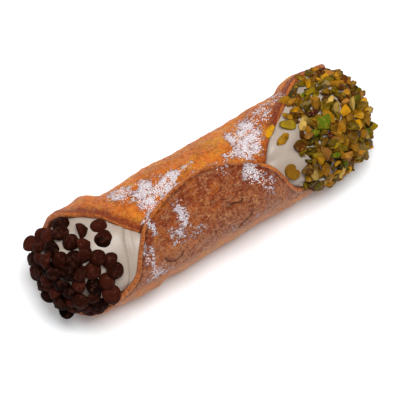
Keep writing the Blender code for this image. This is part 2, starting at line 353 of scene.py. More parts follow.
def rounded(distance, width):
    """1 at an edge and 0 from this width on, as a soft quarter round."""
    inward = 1 - np.clip(distance / width, 0, 1)
    return 1 - (1 - inward**2.4) ** (1 / 2.4)


def bell(value):
    """1 at 0, falling evenly to both sides."""
    return np.exp(-value * value)


def groove(x, roll, path):
    """How close places are to a line on the flattened sheet, in mm; the path is in mm along and degrees round."""
    spot = np.stack([x / MM, TUBE_RADIUS / MM * roll], -1)
    turns = [(a, TUBE_RADIUS / MM * (math.radians(b) - SHEET_CENTRE_ANGLE + math.tau)) for a, b in path]
    nearest = np.full(len(spot), 1e3)
    for start, stop in zip(np.array(turns), np.array(turns[1:])):
        run = stop - start
        t = np.clip((spot - start) @ run / (run @ run), 0, 1)[:, None]
        nearest = np.minimum(nearest, np.linalg.norm(spot - start - t * run, axis=1))
    return nearest


# Cracks in the outer flap: where each starts, along in mm and round in degrees, then its heading in degrees, and its
# length, width and depth in mm
CRACK_STARTS = (
    (0, 45, 10, 6, 0.5, 0.6), (1, 16, 30, 8, 0.45, 0.6), (-4, 60, -80, 3, 0.3, 0.3), (-12, 80, -75, 3, 0.35, 0.4),
)
CRACK_STEP = 1.1  # mm from one bend of a crack to the next
CRACK_WANDER = math.radians(35)

# Blisters on the outer flap: along, round, half-length and half-width in mm, rise in mm; a fold runs round the foot
# of the first
FLAP_BLISTERS = (
    (-23.0, 37, 4.0, 4.5, 0.75), (-11, 52, 3.5, 3, 0.25), (-5, 62, 5, 3, 0.25), (6, 58, 5, 4, 0.25),
    (3, 30, 5, 3, 0.35), (-12, 28, 4, 3, 0.3), (12, 36, 4, 3, 0.3), (-28, 30, 4, 3, 0.35), (-31, 52, 3, 4, 0.3),
)
FOLD_AT_FOOT = {"from": 195, "to": 320, "out": 0.95, "width": 0.7, "depth": 0.35}


def cracks():
    """The width and depth in mm, and the line in mm along and degrees round, of each crack and of the blister's foot."""
    per_degree = TUBE_RADIUS / MM * math.radians(1)
    made = []
    for k, (along, degrees, heading, reach, width, depth) in enumerate(CRACK_STARTS):
        wander = np.random.default_rng(k).uniform(-1, 1, int(reach / CRACK_STEP)) * CRACK_WANDER
        ways = math.radians(heading) + wander
        line = np.cumsum([(0, 0), *zip(CRACK_STEP * np.cos(ways), CRACK_STEP * np.sin(ways) / per_degree)], axis=0)
        made.append((width, depth, line + (along, degrees)))
    along, degrees, half_length, half_width, _ = FLAP_BLISTERS[0]
    ways = np.radians(np.linspace(FOLD_AT_FOOT["from"], FOLD_AT_FOOT["to"], 9))
    arc = (half_length * np.cos(ways), half_width * np.sin(ways) / per_degree)
    line = FOLD_AT_FOOT["out"] * np.stack(arc, -1) + (along, degrees)
    return [*made, (FOLD_AT_FOOT["width"], FOLD_AT_FOOT["depth"], line)]


CRACKS = cracks()

# Where icing sugar fell: along in mm, round in degrees, half-length and half-width in mm, and how thick
SUGAR_BEHIND_FLAP = (
    (16, 90, 5, 6, 1.1), (20, 108, 4, 8, 1.1), (14, 116, 2, 4, 0.8), (9, 92, 3, 2, 0.8), (28, 120, 5, 6, 0.8),
    (36, 135, 5, 6, 0.6), (-22, 95, 4, 6, 1.1), (-19, 112, 2, 5, 1.1), (-15, 98, 3, 3, 1.0), (-11, 103, 3, 3, 0.8),
    (-27, 124, 5, 6, 0.9), (-5, 106, 6, 2, 0.6), (10, 165, 20, 6, 0.45), (-14, 110, 8, 8, 0.4),
)
SUGAR_ON_FLAP = (
    (12, 62, 4, 4, 1.0), (16, 45, 3, 4, 0.65), (4, 78, 3, 2, 0.6), (-15, 66, 3, 5, 0.55), (-16, 50, 4, 5, 0.5),
    (-11, 38, 4, 3, 0.5), (-21, 45, 3, 4, 0.55), (-26, 70, 1.5, 5, 0.9), (-31, 42, 3, 6, 0.65), (-30, 18, 6, 4, 0.7),
    (5, 20, 25, 3, 0.35),
)
SUGAR_FADE = 1.5
SUGAR_AT_STEP = {"thick": 0.9, "reach": 1.5, "from": -32, "to": 12}  # caught behind the flap's edge, in mm
# Paler underside: partly flour and sugar dust, partly painted bounce light from the floor
UNDERSIDE_FLOUR_AND_BOUNCE = (0.9, 338, 75)  # strength, round, and how far it reaches in degrees


def shell_fields(x, roll, edge, outside):
    """What the finish of the dough follows: numbers from 0 to 1 for each point of the shell."""
    # Painted shade: darker along the line under the outer flap's edge, in the groove inside its lip and in the cracks
    crease_shade = bell(distance_to_edge(x, roll + math.tau, CLIMBING) / (0.5 * MM))
    crease_shade = np.maximum(crease_shade, 0.7 * bell((edge / MM - 1.7) / 0.4) * (roll > CLIMB_START))
    for width, depth, path in CRACKS:
        crease_shade = np.maximum(crease_shade, bell(groove(x, roll, path) / width))
    angle = SHEET_CENTRE_ANGLE + roll
    flap = smooth((roll - CLIMB_START) / math.radians(24))
    covered = hidden_by_flap(x, roll)
    step = distance_to_edge(x, roll + math.tau, CLIMBING) / MM
    run = smooth((x / MM - SUGAR_AT_STEP["from"]) / 6) * smooth((SUGAR_AT_STEP["to"] - x / MM) / 6)
    caught = SUGAR_AT_STEP["thick"] * run * bell(step / SUGAR_AT_STEP["reach"])
    behind = np.maximum(spots(x, angle, SUGAR_BEHIND_FLAP, SUGAR_FADE), caught)
    sugar = np.where(roll > CLIMB_START, spots(x, angle, SUGAR_ON_FLAP, SUGAR_FADE), behind)
    # Paler underside: partly flour and sugar dust, partly painted bounce light from the floor
    strength, round_, reach = UNDERSIDE_FLOUR_AND_BOUNCE
    low = np.abs(np.degrees(turned_into(angle - math.radians(round_), -math.pi))) / reach
    flour_and_bounce = np.clip(smooth(1.2 - low), 0, 1)
    # Darker band near the mouths' rims: partly browner frying, partly painted shade of the rims
    near_edge = 1 - smooth(edge / (5 * MM))
    mouth = near_edge * (1 - flap * smooth((np.abs(roll) - math.radians(176)) / math.radians(12)))
    return {
        "sugar": np.clip(sugar, 0, 1) * (1 - covered) * outside,
        "dusty": smooth((place(x, angle, TUBE_RADIUS)[:, 2] / MM - 6) / 14) * (1 - covered) * outside,
        "flour_and_bounce": flour_and_bounce * strength * outside,
        "flap": flap * outside,
        "mouth": mouth,
        # Lighter band along the sheet's edge: the edge's own colour and a painted highlight on the rounded lip
        "edge_tone_and_highlight": 1 - smooth((edge / MM - 0.3 - 0.6 * flap) / 0.4),
        "crease_shade": crease_shade * outside,
        "relief": outside * (1 - covered) * smooth(edge / (2.5 * MM)),
    }


def rolled_shell(cells_along, cells_round, wall, lip):
    """The shell as one closed mesh: a sheet with a rounded edge, rolled up, with the numbers its finish needs."""
    grid = bmesh.new()
    bmesh.ops.create_grid(grid, x_segments=cells_along, y_segments=cells_round, size=1)
    corner = np.array([v.co[:2] for v in grid.verts])
    u = sheet_rows(cells_along)[np.rint((corner[:, 0] + 1) / 2 * cells_along).astype(int)]
    v = sheet_rows(cells_round)[np.rint((corner[:, 1] + 1) / 2 * cells_round).astype(int)]
    at_edge = np.maximum(np.abs(u), np.abs(v)) > 1 - 1e-9
    x, roll = sheet_place(u, v)
    angle = SHEET_CENTRE_ANGLE + roll
    edge = np.where(at_edge, 0, distance_to_edge(x, roll))
    flat = np.stack([x, TUBE_RADIUS * roll, np.zeros(len(x))], -1)
    flap = smooth((roll - CLIMB_START) / math.radians(30))
    level = tube_radius(x, angle) + climb(roll)
    level += MM * spots(x, angle, BLISTERS) * (1 - smooth((-roll - CLIMB_END) / math.radians(12)))
    level += 0.22 * MM * scaled_noise(flat, 11 * MM, 3) * smooth(edge / (4 * MM))
    press = np.maximum(-place(x, angle, level)[:, 2], 0)
    bulge = lip * flap * (bell((edge / MM - 0.6) / 0.55) - 1.2 * bell((edge / MM - 1.6) / 0.45))
    bulge *= 1 - 0.7 * smooth((x / MM - 14) / 6)
    bulge += MM * flap * spots(x, angle, FLAP_BLISTERS)
    for width, depth, path in CRACKS:
        bulge -= depth * MM * bell(groove(x, roll, path) / width) * smooth(edge / MM)
    over = 0.58 * wall * rounded(edge, 1.3 * MM)
    under = 0.42 * wall * rounded(edge, 1.1 * MM)
    wobble = 0.35 * MM * scaled_noise(flat, 6 * MM, 11) * (1 - smooth(edge / (9 * MM)))
    sides = []
    for outside, radius in ((1, level + bulge - over), (0, level - wall + under)):
        points = place(x + wobble, angle, radius)
        points[:, 2] = np.maximum(points[:, 2] + press, 0)
        sides.append((points, shell_fields(x, roll, edge, outside)))
    sides[1][0][at_edge] = sides[0][0][at_edge]
    return both_sides(grid, sides)


def both_sides(grid, sides):
    """A grid as a closed mesh: once for the outside and once, turned over, for the inside, welded at the edge."""
    faces = np.array([[v.index for v in f.verts] for f in grid.faces])
    grid.free()
    (outer, outer_fields), (inner, inner_fields) = sides
    mesh = bpy.data.meshes.new("sheet")
    mesh.from_pydata([*outer, *inner], [], [*faces.tolist(), *(faces[:, ::-1] + len(outer)).tolist()])
    for name in outer_fields:
        values = np.concatenate([outer_fields[name], inner_fields[name]]).astype(np.float32)
        mesh.attributes.new(name, "FLOAT", "POINT").data.foreach_set("value", values)
    made = bmesh.new()
    made.from_mesh(mesh)
    bmesh.ops.remove_doubles(made, verts=made.verts, dist=1e-8)
    bmesh.ops.recalc_face_normals(made, faces=made.faces)
    made.to_mesh(mesh)
    made.free()
    mesh.shade_smooth()
    return mesh


# Which way round each mouth the cream swells most, how far to either side in degrees, and how much
SWELLS = {"chocolate": (45, 55, 0.6), "pistachio": (40, 50, 1.0)}


def swell_share(name, angle):
    """How much of its swelling the cream has this way round a mouth."""
    middle, reach, most = SWELLS[name]
    away = np.abs(np.degrees(turned_into(angle - math.radians(middle), -math.pi)))
    return most * (1.15 * smooth((reach + 28 - away) / 56) - 0.15)


def cream_radius(x, angle, swell, rise):
    """The cream meets the wall all round inside, and swells in the mouths within this rise from their rims."""
    roll = turned_into(angle - SHEET_CENTRE_ANGLE, EDGE_ROLL - math.tau)
    inner_roll = roll - math.tau
    over = (x > rim_x("chocolate", roll)) & (x < rim_x("pistachio", roll))
    inner = (inner_roll > -EDGE_ROLL) & (x > rim_x("chocolate", inner_roll)) & (x < rim_x("pistachio", inner_roll))
    to_wall = np.minimum(
        distance_to_edge(x, roll, ~CLIMBING), distance_to_edge(x, inner_roll, ~CLIMBING)
    )
    to_flap = distance_to_edge(x, roll, CLIMBING)
    by_wall = np.where(inner | (over & (roll < CLIMB_START)), 1, np.exp(-to_wall / rise))
    by_flap = np.where(over & (roll >= CLIMB_START), 1, np.exp(-to_flap / (1.5 * rise)))
    within = bell(np.maximum(beyond_rim("pistachio", x, angle) - 7, 0) / 5)
    name_swell = swell * np.where(x < 0, swell_share("chocolate", angle), swell_share("pistachio", angle) * within)
    free = climb(roll) * by_flap + name_swell * (1 - by_flap)
    return tube_radius(x, angle) - WALL + 0.15 * MM + free * (1 - by_wall)


DRAPE = 1.5 * MM  # how much higher the cream stands where it hangs over the rim

# The fold where the piping of the chocolate end was cut off: a crease that slants away from the rim
FOLD_LOW, FOLD_HIGH = math.radians(18), math.radians(90)
FOLD_X_LOW, FOLD_X_HIGH = -41.9 * MM, -33.3 * MM


def fold_height(x, angle):
    """A ribbon along the rim, a crease, and a lobe beyond it that bulges over the crease."""
    up = (angle - FOLD_LOW) / (FOLD_HIGH - FOLD_LOW)
    past = (x - FOLD_X_LOW - (FOLD_X_HIGH - FOLD_X_LOW) * up) / MM
    here = smooth(up * 6) * smooth((1 - up) * 8)
    lobe = 1.0 * smooth((0.7 - past) / 1.2) * bell(np.minimum(past, 0) / 7)
    ribbon = 0.35 * smooth((past - 0.5) / 0.8) - 0.12 * bell((past - 2.6) / 0.4)
    return here * MM * (lobe + ribbon - 1.2 * bell((past - 0.35) / 0.4))


def beyond_rim(name, x, angle):
    """How far places lie beyond the outermost edge of the dough at this mouth, in mm."""
    side = -1 if name == "chocolate" else 1
    roll = turned_into(angle - SHEET_CENTRE_ANGLE, EDGE_ROLL - math.tau)
    inner = np.where(roll - math.tau > -EDGE_ROLL, side * rim_x(name, roll - math.tau), 0)
    return (side * x - np.maximum(side * rim_x(name, roll), inner)) / MM


def cream_point(x, angle, swell, rise, overhang):
    """Points on the cream: the filling, its dome at each end, and where it hangs over the rims."""
    radius = cream_radius(x, angle, swell, rise) + fold_height(x, angle % math.tau)
    shifted = x.copy()
    degrees = np.degrees(turned_into(angle, -math.pi))
    for name, reach, drape in (("chocolate", -0.4 * overhang, 0), ("pistachio", overhang, DRAPE)):
        past = beyond_rim(name, x, angle)
        near = smooth(past / 1.2) * bell(np.maximum(past - 1.2, 0) / 3.5)
        lap = np.maximum(swell_share(name, angle), 0) if name == "chocolate" else bell((degrees - 76) / 24)
        shifted -= reach * near * lap
        radius = radius + drape * near * smooth((degrees - 60) / 14)
    points = place(shifted, angle, radius)
    points += 0.12 * MM * scaled_noise(points, 6 * MM, 21)[:, None] * (points - (0, AXIS_Y, AXIS_HEIGHT)) / TUBE_RADIUS
    for name, end in ENDS.items():
        out = np.clip((x - end["shoulder"]) / (end["tip"] - end["shoulder"]), 0, 1)
        size = (1 - out ** end["squareness"]) ** (1 / end["squareness"])
        points[:, 1] = AXIS_Y + (points[:, 1] - AXIS_Y) * size - end["lean"] * out**3 * math.cos(FLARE_ANGLE)
        points[:, 2] = AXIS_HEIGHT + (points[:, 2] - AXIS_HEIGHT) * size
        points[:, 2] += end["lean"] * out**3 * math.sin(FLARE_ANGLE)
    return points


def filling(rings, segments, swell, rise, overhang):
    """The cream as one closed mesh: a sphere drawn out along the tube."""
    made = bmesh.new()
    bmesh.ops.create_uvsphere(made, u_segments=segments, v_segments=rings, radius=1)
    ball = np.array([v.co for v in made.verts])
    latitude = np.arcsin(np.clip(ball[:, 2], -1, 1)) / (math.pi / 2)
    along = np.sin(np.sign(latitude) * np.abs(latitude) ** 0.85 * math.pi / 2)
    low, high = ENDS["chocolate"]["tip"], ENDS["pistachio"]["tip"]
    x = (low + high) / 2 + along * (high - low) / 2
    points = cream_point(x, np.arctan2(ball[:, 1], ball[:, 0]), swell, rise, overhang)
    points[:, 2] = np.maximum(points[:, 2], WALL / 2)
    for vertex, point in zip(made.verts, points):
        vertex.co = point
    made.normal_update()
    bmesh.ops.recalc_face_normals(made, faces=made.faces)
    mesh = bpy.data.meshes.new("filling")
    made.to_mesh(mesh)
    made.free()
    mesh.shade_smooth()
    return mesh


# ---------------------------------------------------------------------------------------------------------------
# What lies on the cream at each end

# The middle of each dome, from which places on it are given: round the tube and out towards the tip, in degrees
DOME_MIDDLE = {"chocolate": Vector((-44 * MM, AXIS_Y, AXIS_HEIGHT)), "pistachio": Vector((44 * MM, AXIS_Y, AXIS_HEIGHT))}

# How far from the rim in mm the cream stays bare at most, round what middle and reach in degrees, and how much lower
# the heap is behind the rim at the back
HEAPS = {
    "chocolate": {"widest": 10, "middle": 70, "reach": 40, "sunk": 0.0},
    "pistachio": {"widest": 9, "middle": 62, "reach": 32, "sunk": 0.9},
}

# Lone chips on the bare cream: round and out in degrees, height in mm, and the way the tip points, round and out
LONE_CHIPS = (
    (95, -12, 1.3, 75, 0), (80, -10, 1.3, 60, 0), (80, -5, 3.0, 80, 30), (68, 8, 1.5, 100, 30), (47, -3, 1.3, 45, 0),
    (27, 10, 1.4, 240, -15), (85, 12, 1.6, 60, -60),
)
# Pieces that stand out at the edge of the pistachios: round and out in degrees, height in mm, turn in degrees, length
# in mm, and colour
LONE_NUTS = (
    (88, -46, 1.2, 130, 5, "yellow"), (75, -42, 1.2, 20, 5, "yellow"), (95, -32, 1.4, 120, 4, "yellow"),
    (85, -35, 1.0, 150, 5, "lime"), (120, -22, 1.4, 150, 5, "yellow"), (80, -25, 1.6, 30, 5, "cream"),
    (70, -5, 2.0, 60, 5, "green"), (65, -18, 1.6, 0, 4, "green"), (40, -20, 1.8, 120, 5, "tan"),
    (130, 35, 1.6, 0, 3, "purple"), (55, -5, 1.6, 90, 3, "purple"),
)
HEART_NUT = {"round": 42, "out": -46, "lift": 0.8, "spin": -75, "length": 5.6}
NUT_COLOURS = {
    "yellow": "D4940E", "cream": "D2AC58", "gold": "B07418", "ochre": "7E5406", "lime": "967A0A", "olive": "6A5404",
    "green": "56680A", "dark": "342E02", "tan": "AC6E30", "pale": "9A8048", "brown": "5A2C08", "purple": "400E18",
}
# How common each colour is, in percent: on top of the heap, and under it, where more dark colours are painted shade
# between the pieces
NUT_SHARES = (20, 8, 17, 16, 12, 7, 5, 2, 7, 4, 1, 1)
SHADED_NUT_SHARES_BELOW = (2, 0, 6, 22, 4, 16, 2, 20, 3, 1, 23, 1)


def way_out(name, round_, out):
    """The direction of a place on a dome, from its round and out angles in degrees."""
    round_, out = math.radians(round_), math.radians(out)
    side = -1 if name == "chocolate" else 1
    flat = math.cos(out)
    return Vector((side * math.sin(out), -flat * math.cos(round_), flat * math.sin(round_)))


def turned(facing, spin):
    """Euler angles that point Z this way and X along the tube, and then turn about Z."""
    z = facing.normalized()
    x = (Vector((1, 0, 0)) - z * z.x).normalized()
    x = Matrix.Rotation(spin, 3, z) @ x
    return Matrix((x, z.cross(x), z)).transposed().to_euler()


def is_covered(name, point, margin):
    """Whether dough covers this place of the cream, or ends so close that the cream stays bare."""
    side = -1 if name == "chocolate" else 1
    angle = math.atan2(point.z - AXIS_HEIGHT, -(point.y - AXIS_Y))
    bare = HEAPS[name]
    width = bare["widest"] * MM * bell((math.degrees(angle) - bare["middle"]) / bare["reach"])
    roll = turned_into(angle - SHEET_CENTRE_ANGLE, EDGE_ROLL - math.tau)
    for lap in (roll, roll - math.tau):
        if lap > -EDGE_ROLL and side * point.x < side * rim_x(name, lap) + margin + width:
            return True
    return False


class Heap:
    """Collects the places of loose things on one dome of the cream."""

    def __init__(self, name, cream, seed, margin):
        self.name = name
        self.room = [[c + margin for c in CAD_BOX[0]], [c - margin for c in CAD_BOX[1]]]
        self.random = np.random.default_rng(seed)
        made = bmesh.new()
        made.from_mesh(cream)
        self.surface = BVHTree.FromBMesh(made)
        made.free()
        self.points, self.rows = [], []

    def foot(self, round_, out):
        """The place on the cream in this direction and the way it faces."""
        way = way_out(self.name, round_, out)
        start = DOME_MIDDLE[self.name] + way * 60 * MM
        hit, normal = self.surface.ray_cast(start, -way)[:2]
        return (hit, normal) if hit else (None, None)

    def put(self, hit, normal, lift, facing, **numbers):
        """Notes one thing at a height over the cream, or lower where it would stand out too far."""
        self.points.append(hit + normal * min(lift, self.headroom(hit, normal)))
        self.rows.append({"turn": facing, **numbers})

    def headroom(self, hit, normal):
        """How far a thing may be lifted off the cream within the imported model's box."""
        ways = zip(hit, normal, *self.room)
        return min(((high if n > 0 else low) - at) / n for at, n, low, high in ways if abs(n) > 0.01)

    def fill(self, tries, spacing, lift, margin, choose, tumble=0.0):
        """Puts things at random where there is room for them; tumble is how little they follow the surface."""
        for _ in range(tries):
            round_ = self.random.uniform(0, 360)
            out = math.degrees(math.asin(self.random.uniform(-0.75, 1)))
            hit, normal = self.foot(round_, out)
            if not hit or is_covered(self.name, hit, margin):
                continue
            high = lift * (1 - HEAPS[self.name]["sunk"] * bell((round_ - 160) / 40))
            middle = hit + normal * high
            if self.headroom(hit, normal) < 0.2 * lift or any((middle - p).length < spacing for p in self.points):
                continue
            spin = self.random.uniform(0, math.tau)
            way = normal + tumble * Vector(self.random.normal(0, 1, 3))
            self.put(hit, normal, high, turned(way, spin), loose=1.0, **choose())

    def scattered(self, name, tree, values):
        """All of them as one plain mesh."""
        mesh = bpy.data.meshes.new(name)
        mesh.from_pydata(self.points, [], [])
        kinds = {"turn": "FLOAT_VECTOR", "size": "FLOAT", "kind": "INT", "loose": "FLOAT", "tint": "FLOAT"}
        for key, kind in kinds.items():
            numbers = np.array([row[key] for row in self.rows]).ravel()
            field = "vector" if kind == "FLOAT_VECTOR" else "value"
            mesh.attributes.new(key, kind, "POINT").data.foreach_set(field, numbers)
        made = new_object(name + "_places", mesh)
        with_nodes(made, tree, values)
        return settled(made, name)


def variants(name, meshes):
    """Meshes as objects of a collection that isn't in the scene."""
    group = bpy.data.collections.new(name)
    for k, mesh in enumerate(meshes):
        group.objects.link(bpy.data.objects.new(f"{name}_{k:02d}", mesh))
    return group


def removed(group):
    """Takes the variants out again."""
    for made in list(group.objects):
        bpy.data.objects.remove(made)
    bpy.data.collections.remove(group)


CHIP_PROFILE = (  # radius and height in mm, from under the middle of the flat base to the tip
    (0, -1.3), (1.4, -1.35), (2.6, -1.35), (2.95, -1), (2.9, -0.2), (2.55, 0.6), (1.9, 1.25),
    (1.15, 1.7), (0.6, 1.95), (0.3, 2.2), (0, 2.3),
)


def chip_form(random):
    """One chocolate chip: a drop with a flat base and a small curl at its tip."""
    made = bmesh.new()
    bmesh.ops.create_uvsphere(made, u_segments=18, v_segments=len(CHIP_PROFILE) - 1, radius=1)
    radii, heights = zip(*CHIP_PROFILE)
    steps = np.linspace(-1, 1, len(CHIP_PROFILE))
    bend = random.uniform(-1, 1, 2) * 0.25
    oval = random.uniform(0.92, 1.08)
    offset = random.uniform(0, 50)
    for vertex in made.verts:
        step = math.asin(max(-1.0, min(1.0, vertex.co.z))) / (math.pi / 2)
        angle = math.atan2(vertex.co.y, vertex.co.x)
        radius, height = np.interp(step, steps, radii), np.interp(step, steps, heights)
        lump = 1 + 0.1 * noise.noise(Vector((math.cos(angle), math.sin(angle), height * 0.4 + offset)))
        tip = max(0.0, height - 0.9) ** 1.5
        vertex.co = Vector((
            radius * lump * math.cos(angle) * oval + bend[0] * tip,
            radius * lump * math.sin(angle) / oval + bend[1] * tip,
            height * (1 + 0.08 * noise.noise(Vector((offset, angle, 2)))),
        )) * MM
    mesh = bpy.data.meshes.new("chip")
    made.to_mesh(mesh)
    made.free()
    mesh.shade_smooth()
    return mesh


def cut(made, point, normal):
    """Slices a mesh in two, keeps the side that the normal points away from, and closes it with a cut face."""
    parts = [*made.verts, *made.edges, *made.faces]
    done = bmesh.ops.bisect_plane(made, geom=parts, plane_co=point, plane_no=normal, clear_outer=True)
    edges = [e for e in done["geom_cut"] if isinstance(e, bmesh.types.BMEdge)]
    if edges:
        for face in bmesh.ops.holes_fill(made, edges=edges)["faces"]:
            face.material_index = 1


def nut_form(random):
    """One chopped piece of a pistachio kernel: some of its skin, flat cuts, and softened corners; 1 mm long."""
    made = bmesh.new()
    bmesh.ops.create_icosphere(made, subdivisions=2, radius=1)
    for vertex in made.verts:
        vertex.co = Vector((vertex.co.x * 1.7, vertex.co.y * 0.9, vertex.co.z * 0.8))
    ways = [Vector((random.uniform(0.2, 1), random.uniform(-0.8, 0.8), random.uniform(-0.7, 0.7)))]
    ways.append(Vector((random.uniform(-1, -0.2), random.uniform(-0.8, 0.8), random.uniform(-0.7, 0.7))))
    ways.append(Vector((random.uniform(-0.4, 0.4), random.uniform(-0.5, 0.5), random.choice((-1, 1)))))
    ways.append(Vector((random.uniform(-0.5, 0.5), random.choice((-1, 1)), random.uniform(-0.5, 0.5))))
    for way, far in zip(ways, (0.75, 0.75, 0.3, 0.55)):
        way.normalize()
        cut(made, way * far * random.uniform(0.5, 1.2), way)
    corners = np.array([v.co for v in made.verts])
    low, high = corners.min(axis=0), corners.max(axis=0)
    middle, reach = Vector((low + high) / 2), float((high - low)[0])
    for vertex in made.verts:
        vertex.co = (vertex.co - middle) / reach
        vertex.co += 0.055 * noise.noise_vector(vertex.co * 5 + Vector((reach * 9, 0, 0)))
    bmesh.ops.dissolve_limit(made, angle_limit=math.radians(14), verts=made.verts, edges=made.edges)
    sharp = [e for e in made.edges if len(e.link_faces) == 2 and e.calc_face_angle() > math.radians(38)]
    bmesh.ops.bevel(made, geom=sharp, offset=0.035, segments=1, affect="EDGES", clamp_overlap=True)
    return nut_mesh(made)


def nut_slice():
    """A slice across a kernel, with the cleft between its halves; 1 mm long."""
    made = bmesh.new()
    rim = []
    for k in range(28):
        angle = math.tau * k / 28
        cleft = 0.62 * math.exp(-((angle - math.pi / 2) / 0.33) ** 2)
        radius = 0.5 * (1 - cleft)
        rim.append(Vector((radius * math.cos(angle), 0.86 * radius * math.sin(angle), 0)))
    face = made.faces.new([made.verts.new(co + Vector((0, 0, 0.17))) for co in rim])
    out = bmesh.ops.extrude_face_region(made, geom=[face])["geom"]
    for vertex in (v for v in out if isinstance(v, bmesh.types.BMVert)):
        vertex.co.z = -0.17
    bmesh.ops.recalc_face_normals(made, faces=made.faces)
    sharp = [e for e in made.edges if len(e.link_faces) == 2 and e.calc_face_angle() > math.radians(60)]
    bmesh.ops.bevel(made, geom=sharp, offset=0.045, segments=2, affect="EDGES", clamp_overlap=True)
    return nut_mesh(made)


def nut_mesh(made):
    """A nut's bmesh as triangles, which know whether they are skin or cut."""
    bmesh.ops.triangulate(made, faces=made.faces)
    bmesh.ops.recalc_face_normals(made, faces=made.faces)
    skin = [1.0 - face.material_index for face in made.faces]
    for face in made.faces:
        face.material_index = 0
    mesh = bpy.data.meshes.new("nut")
    made.to_mesh(mesh)
    made.free()
    mesh.attributes.new("skin", "FLOAT", "FACE").data.foreach_set("value", skin)
    return mesh


# ---------------------------------------------------------------------------------------------------------------
# Geometry Nodes


def relief_tree():
    """Small bubbles and open pits of fried dough, pushed along the surface by the mesh's own relief number."""
    tree, given = node_tree("fried_relief", {
        "Bubble size": "NodeSocketFloat", "Bubble height": "NodeSocketFloat", "Pit spacing": "NodeSocketFloat",
        "Pit width": "NodeSocketFloat", "Pit depth": "NodeSocketFloat", "Material": "NodeSocketMaterial",
    })
    at = add(tree, "GeometryNodeInputPosition")
    per_bubble = add(tree, "ShaderNodeMath", {0: 1.0, 1: given.outputs["Bubble size"]}, operation="DIVIDE")
    bubbles = add(tree, "ShaderNodeTexNoise", {"Vector": at, "Scale": per_bubble, "Detail": 2.0})
    uneven = add(tree, "ShaderNodeMath", {0: bubbles, 1: 0.5}, operation="SUBTRACT")
    raised = add(tree, "ShaderNodeMath", {0: uneven, 1: given.outputs["Bubble height"]}, operation="MULTIPLY")
    per_pit = add(tree, "ShaderNodeMath", {0: 1.0, 1: given.outputs["Pit spacing"]}, operation="DIVIDE")
    cells = add(tree, "ShaderNodeTexVoronoi", {"Vector": at, "Scale": per_pit})
    wide = add(tree, "ShaderNodeMath", {0: given.outputs["Pit width"], 1: per_pit}, operation="MULTIPLY")
    shape = {"Value": cells.outputs["Distance"], "From Max": wide, "To Min": 1.0, "To Max": 0.0}
    pit = add(tree, "ShaderNodeMapRange", shape, interpolation_type="SMOOTHSTEP")
    some = add(tree, "ShaderNodeMath", {0: cells.outputs["Color"], 1: 0.55}, operation="GREATER_THAN")
    open_pit = add(tree, "ShaderNodeMath", {0: pit, 1: some}, operation="MULTIPLY")
    deep = add(tree, "ShaderNodeMath", {0: open_pit, 1: given.outputs["Pit depth"]}, operation="MULTIPLY")
    both = add(tree, "ShaderNodeMath", {0: raised, 1: deep}, operation="SUBTRACT")
    mask = add(tree, "GeometryNodeInputNamedAttribute", {"Name": "relief"})
    masked = add(tree, "ShaderNodeMath", {0: both, 1: mask}, operation="MULTIPLY")
    normal = add(tree, "GeometryNodeInputNormal")
    push = add(tree, "ShaderNodeVectorMath", {0: normal, "Scale": masked}, operation="SCALE")
    moved = add(tree, "GeometryNodeSetPosition", {"Geometry": given.outputs["Geometry"], "Offset": push})
    parts = add(tree, "ShaderNodeSeparateXYZ", {0: at})
    above = add(tree, "ShaderNodeMath", {0: parts.outputs["Z"], 1: 0.0}, operation="MAXIMUM")
    rested = add(tree, "ShaderNodeCombineXYZ", {"X": parts.outputs["X"], "Y": parts.outputs["Y"], "Z": above})
    resting = add(tree, "GeometryNodeSetPosition", {"Geometry": moved, "Position": rested})
    real = add(tree, "GeometryNodeRealizeInstances", {"Geometry": resting})
    finished = add(tree, "GeometryNodeSetMaterial", {"Geometry": real, "Material": given.outputs["Material"]})
    add(tree, "NodeGroupOutput", {"Geometry": finished})
    return tree


def scatter_tree():
    """Sets one of several forms at each point, as its own numbers say, the loose ones with a random lean and size."""
    tree, given = node_tree("scatter", {
        "Forms": "NodeSocketCollection", "Lean": "NodeSocketFloat", "Size spread": "NodeSocketFloat",
        "Seed": "NodeSocketInt", "Material": "NodeSocketMaterial",
    })
    value = {
        name: add(tree, "GeometryNodeInputNamedAttribute", {"Name": name}, data_type=kind)
        for name, kind in (("turn", "FLOAT_VECTOR"), ("size", "FLOAT"), ("kind", "INT"), ("loose", "FLOAT"))
    }
    seed = given.outputs["Seed"]
    lean = add(tree, "FunctionNodeRandomValue", {0: (-1, -1, -1), 1: (1, 1, 1), "Seed": seed}, data_type="FLOAT_VECTOR")
    most = add(tree, "ShaderNodeMath", {0: given.outputs["Lean"], 1: value["loose"]}, operation="MULTIPLY")
    lean = add(tree, "ShaderNodeVectorMath", {0: lean, "Scale": most}, operation="SCALE")
    lean = add(tree, "FunctionNodeEulerToRotation", {"Euler": lean})
    turn = add(tree, "FunctionNodeEulerToRotation", {"Euler": value["turn"]})
    turn = add(tree, "FunctionNodeRotateRotation", {"Rotation": turn, "Rotate By": lean}, rotation_space="LOCAL")
    spread = add(tree, "FunctionNodeRandomValue", {2: -1.0, 3: 1.0, "Seed": seed}, data_type="FLOAT")
    spread = add(tree, "ShaderNodeMath", {0: spread, 1: given.outputs["Size spread"]}, operation="MULTIPLY")
    spread = add(tree, "ShaderNodeMath", {0: spread, 1: value["loose"], 2: 1.0}, operation="MULTIPLY_ADD")
    size = add(tree, "ShaderNodeMath", {0: value["size"], 1: spread}, operation="MULTIPLY")
    forms = {"Collection": given.outputs["Forms"], "Separate Children": True, "Reset Children": True}
    forms = add(tree, "GeometryNodeCollectionInfo", forms)
    set_down = add(tree, "GeometryNodeInstanceOnPoints", {
        "Points": given.outputs["Geometry"], "Instance": forms, "Pick Instance": True,
        "Instance Index": value["kind"], "Rotation": turn, "Scale": size,
    })
    real = add(tree, "GeometryNodeRealizeInstances", {"Geometry": set_down})
    finished = add(tree, "GeometryNodeSetMaterial", {"Geometry": real, "Material": given.outputs["Material"]})
    add(tree, "NodeGroupOutput", {"Geometry": finished})
    return tree


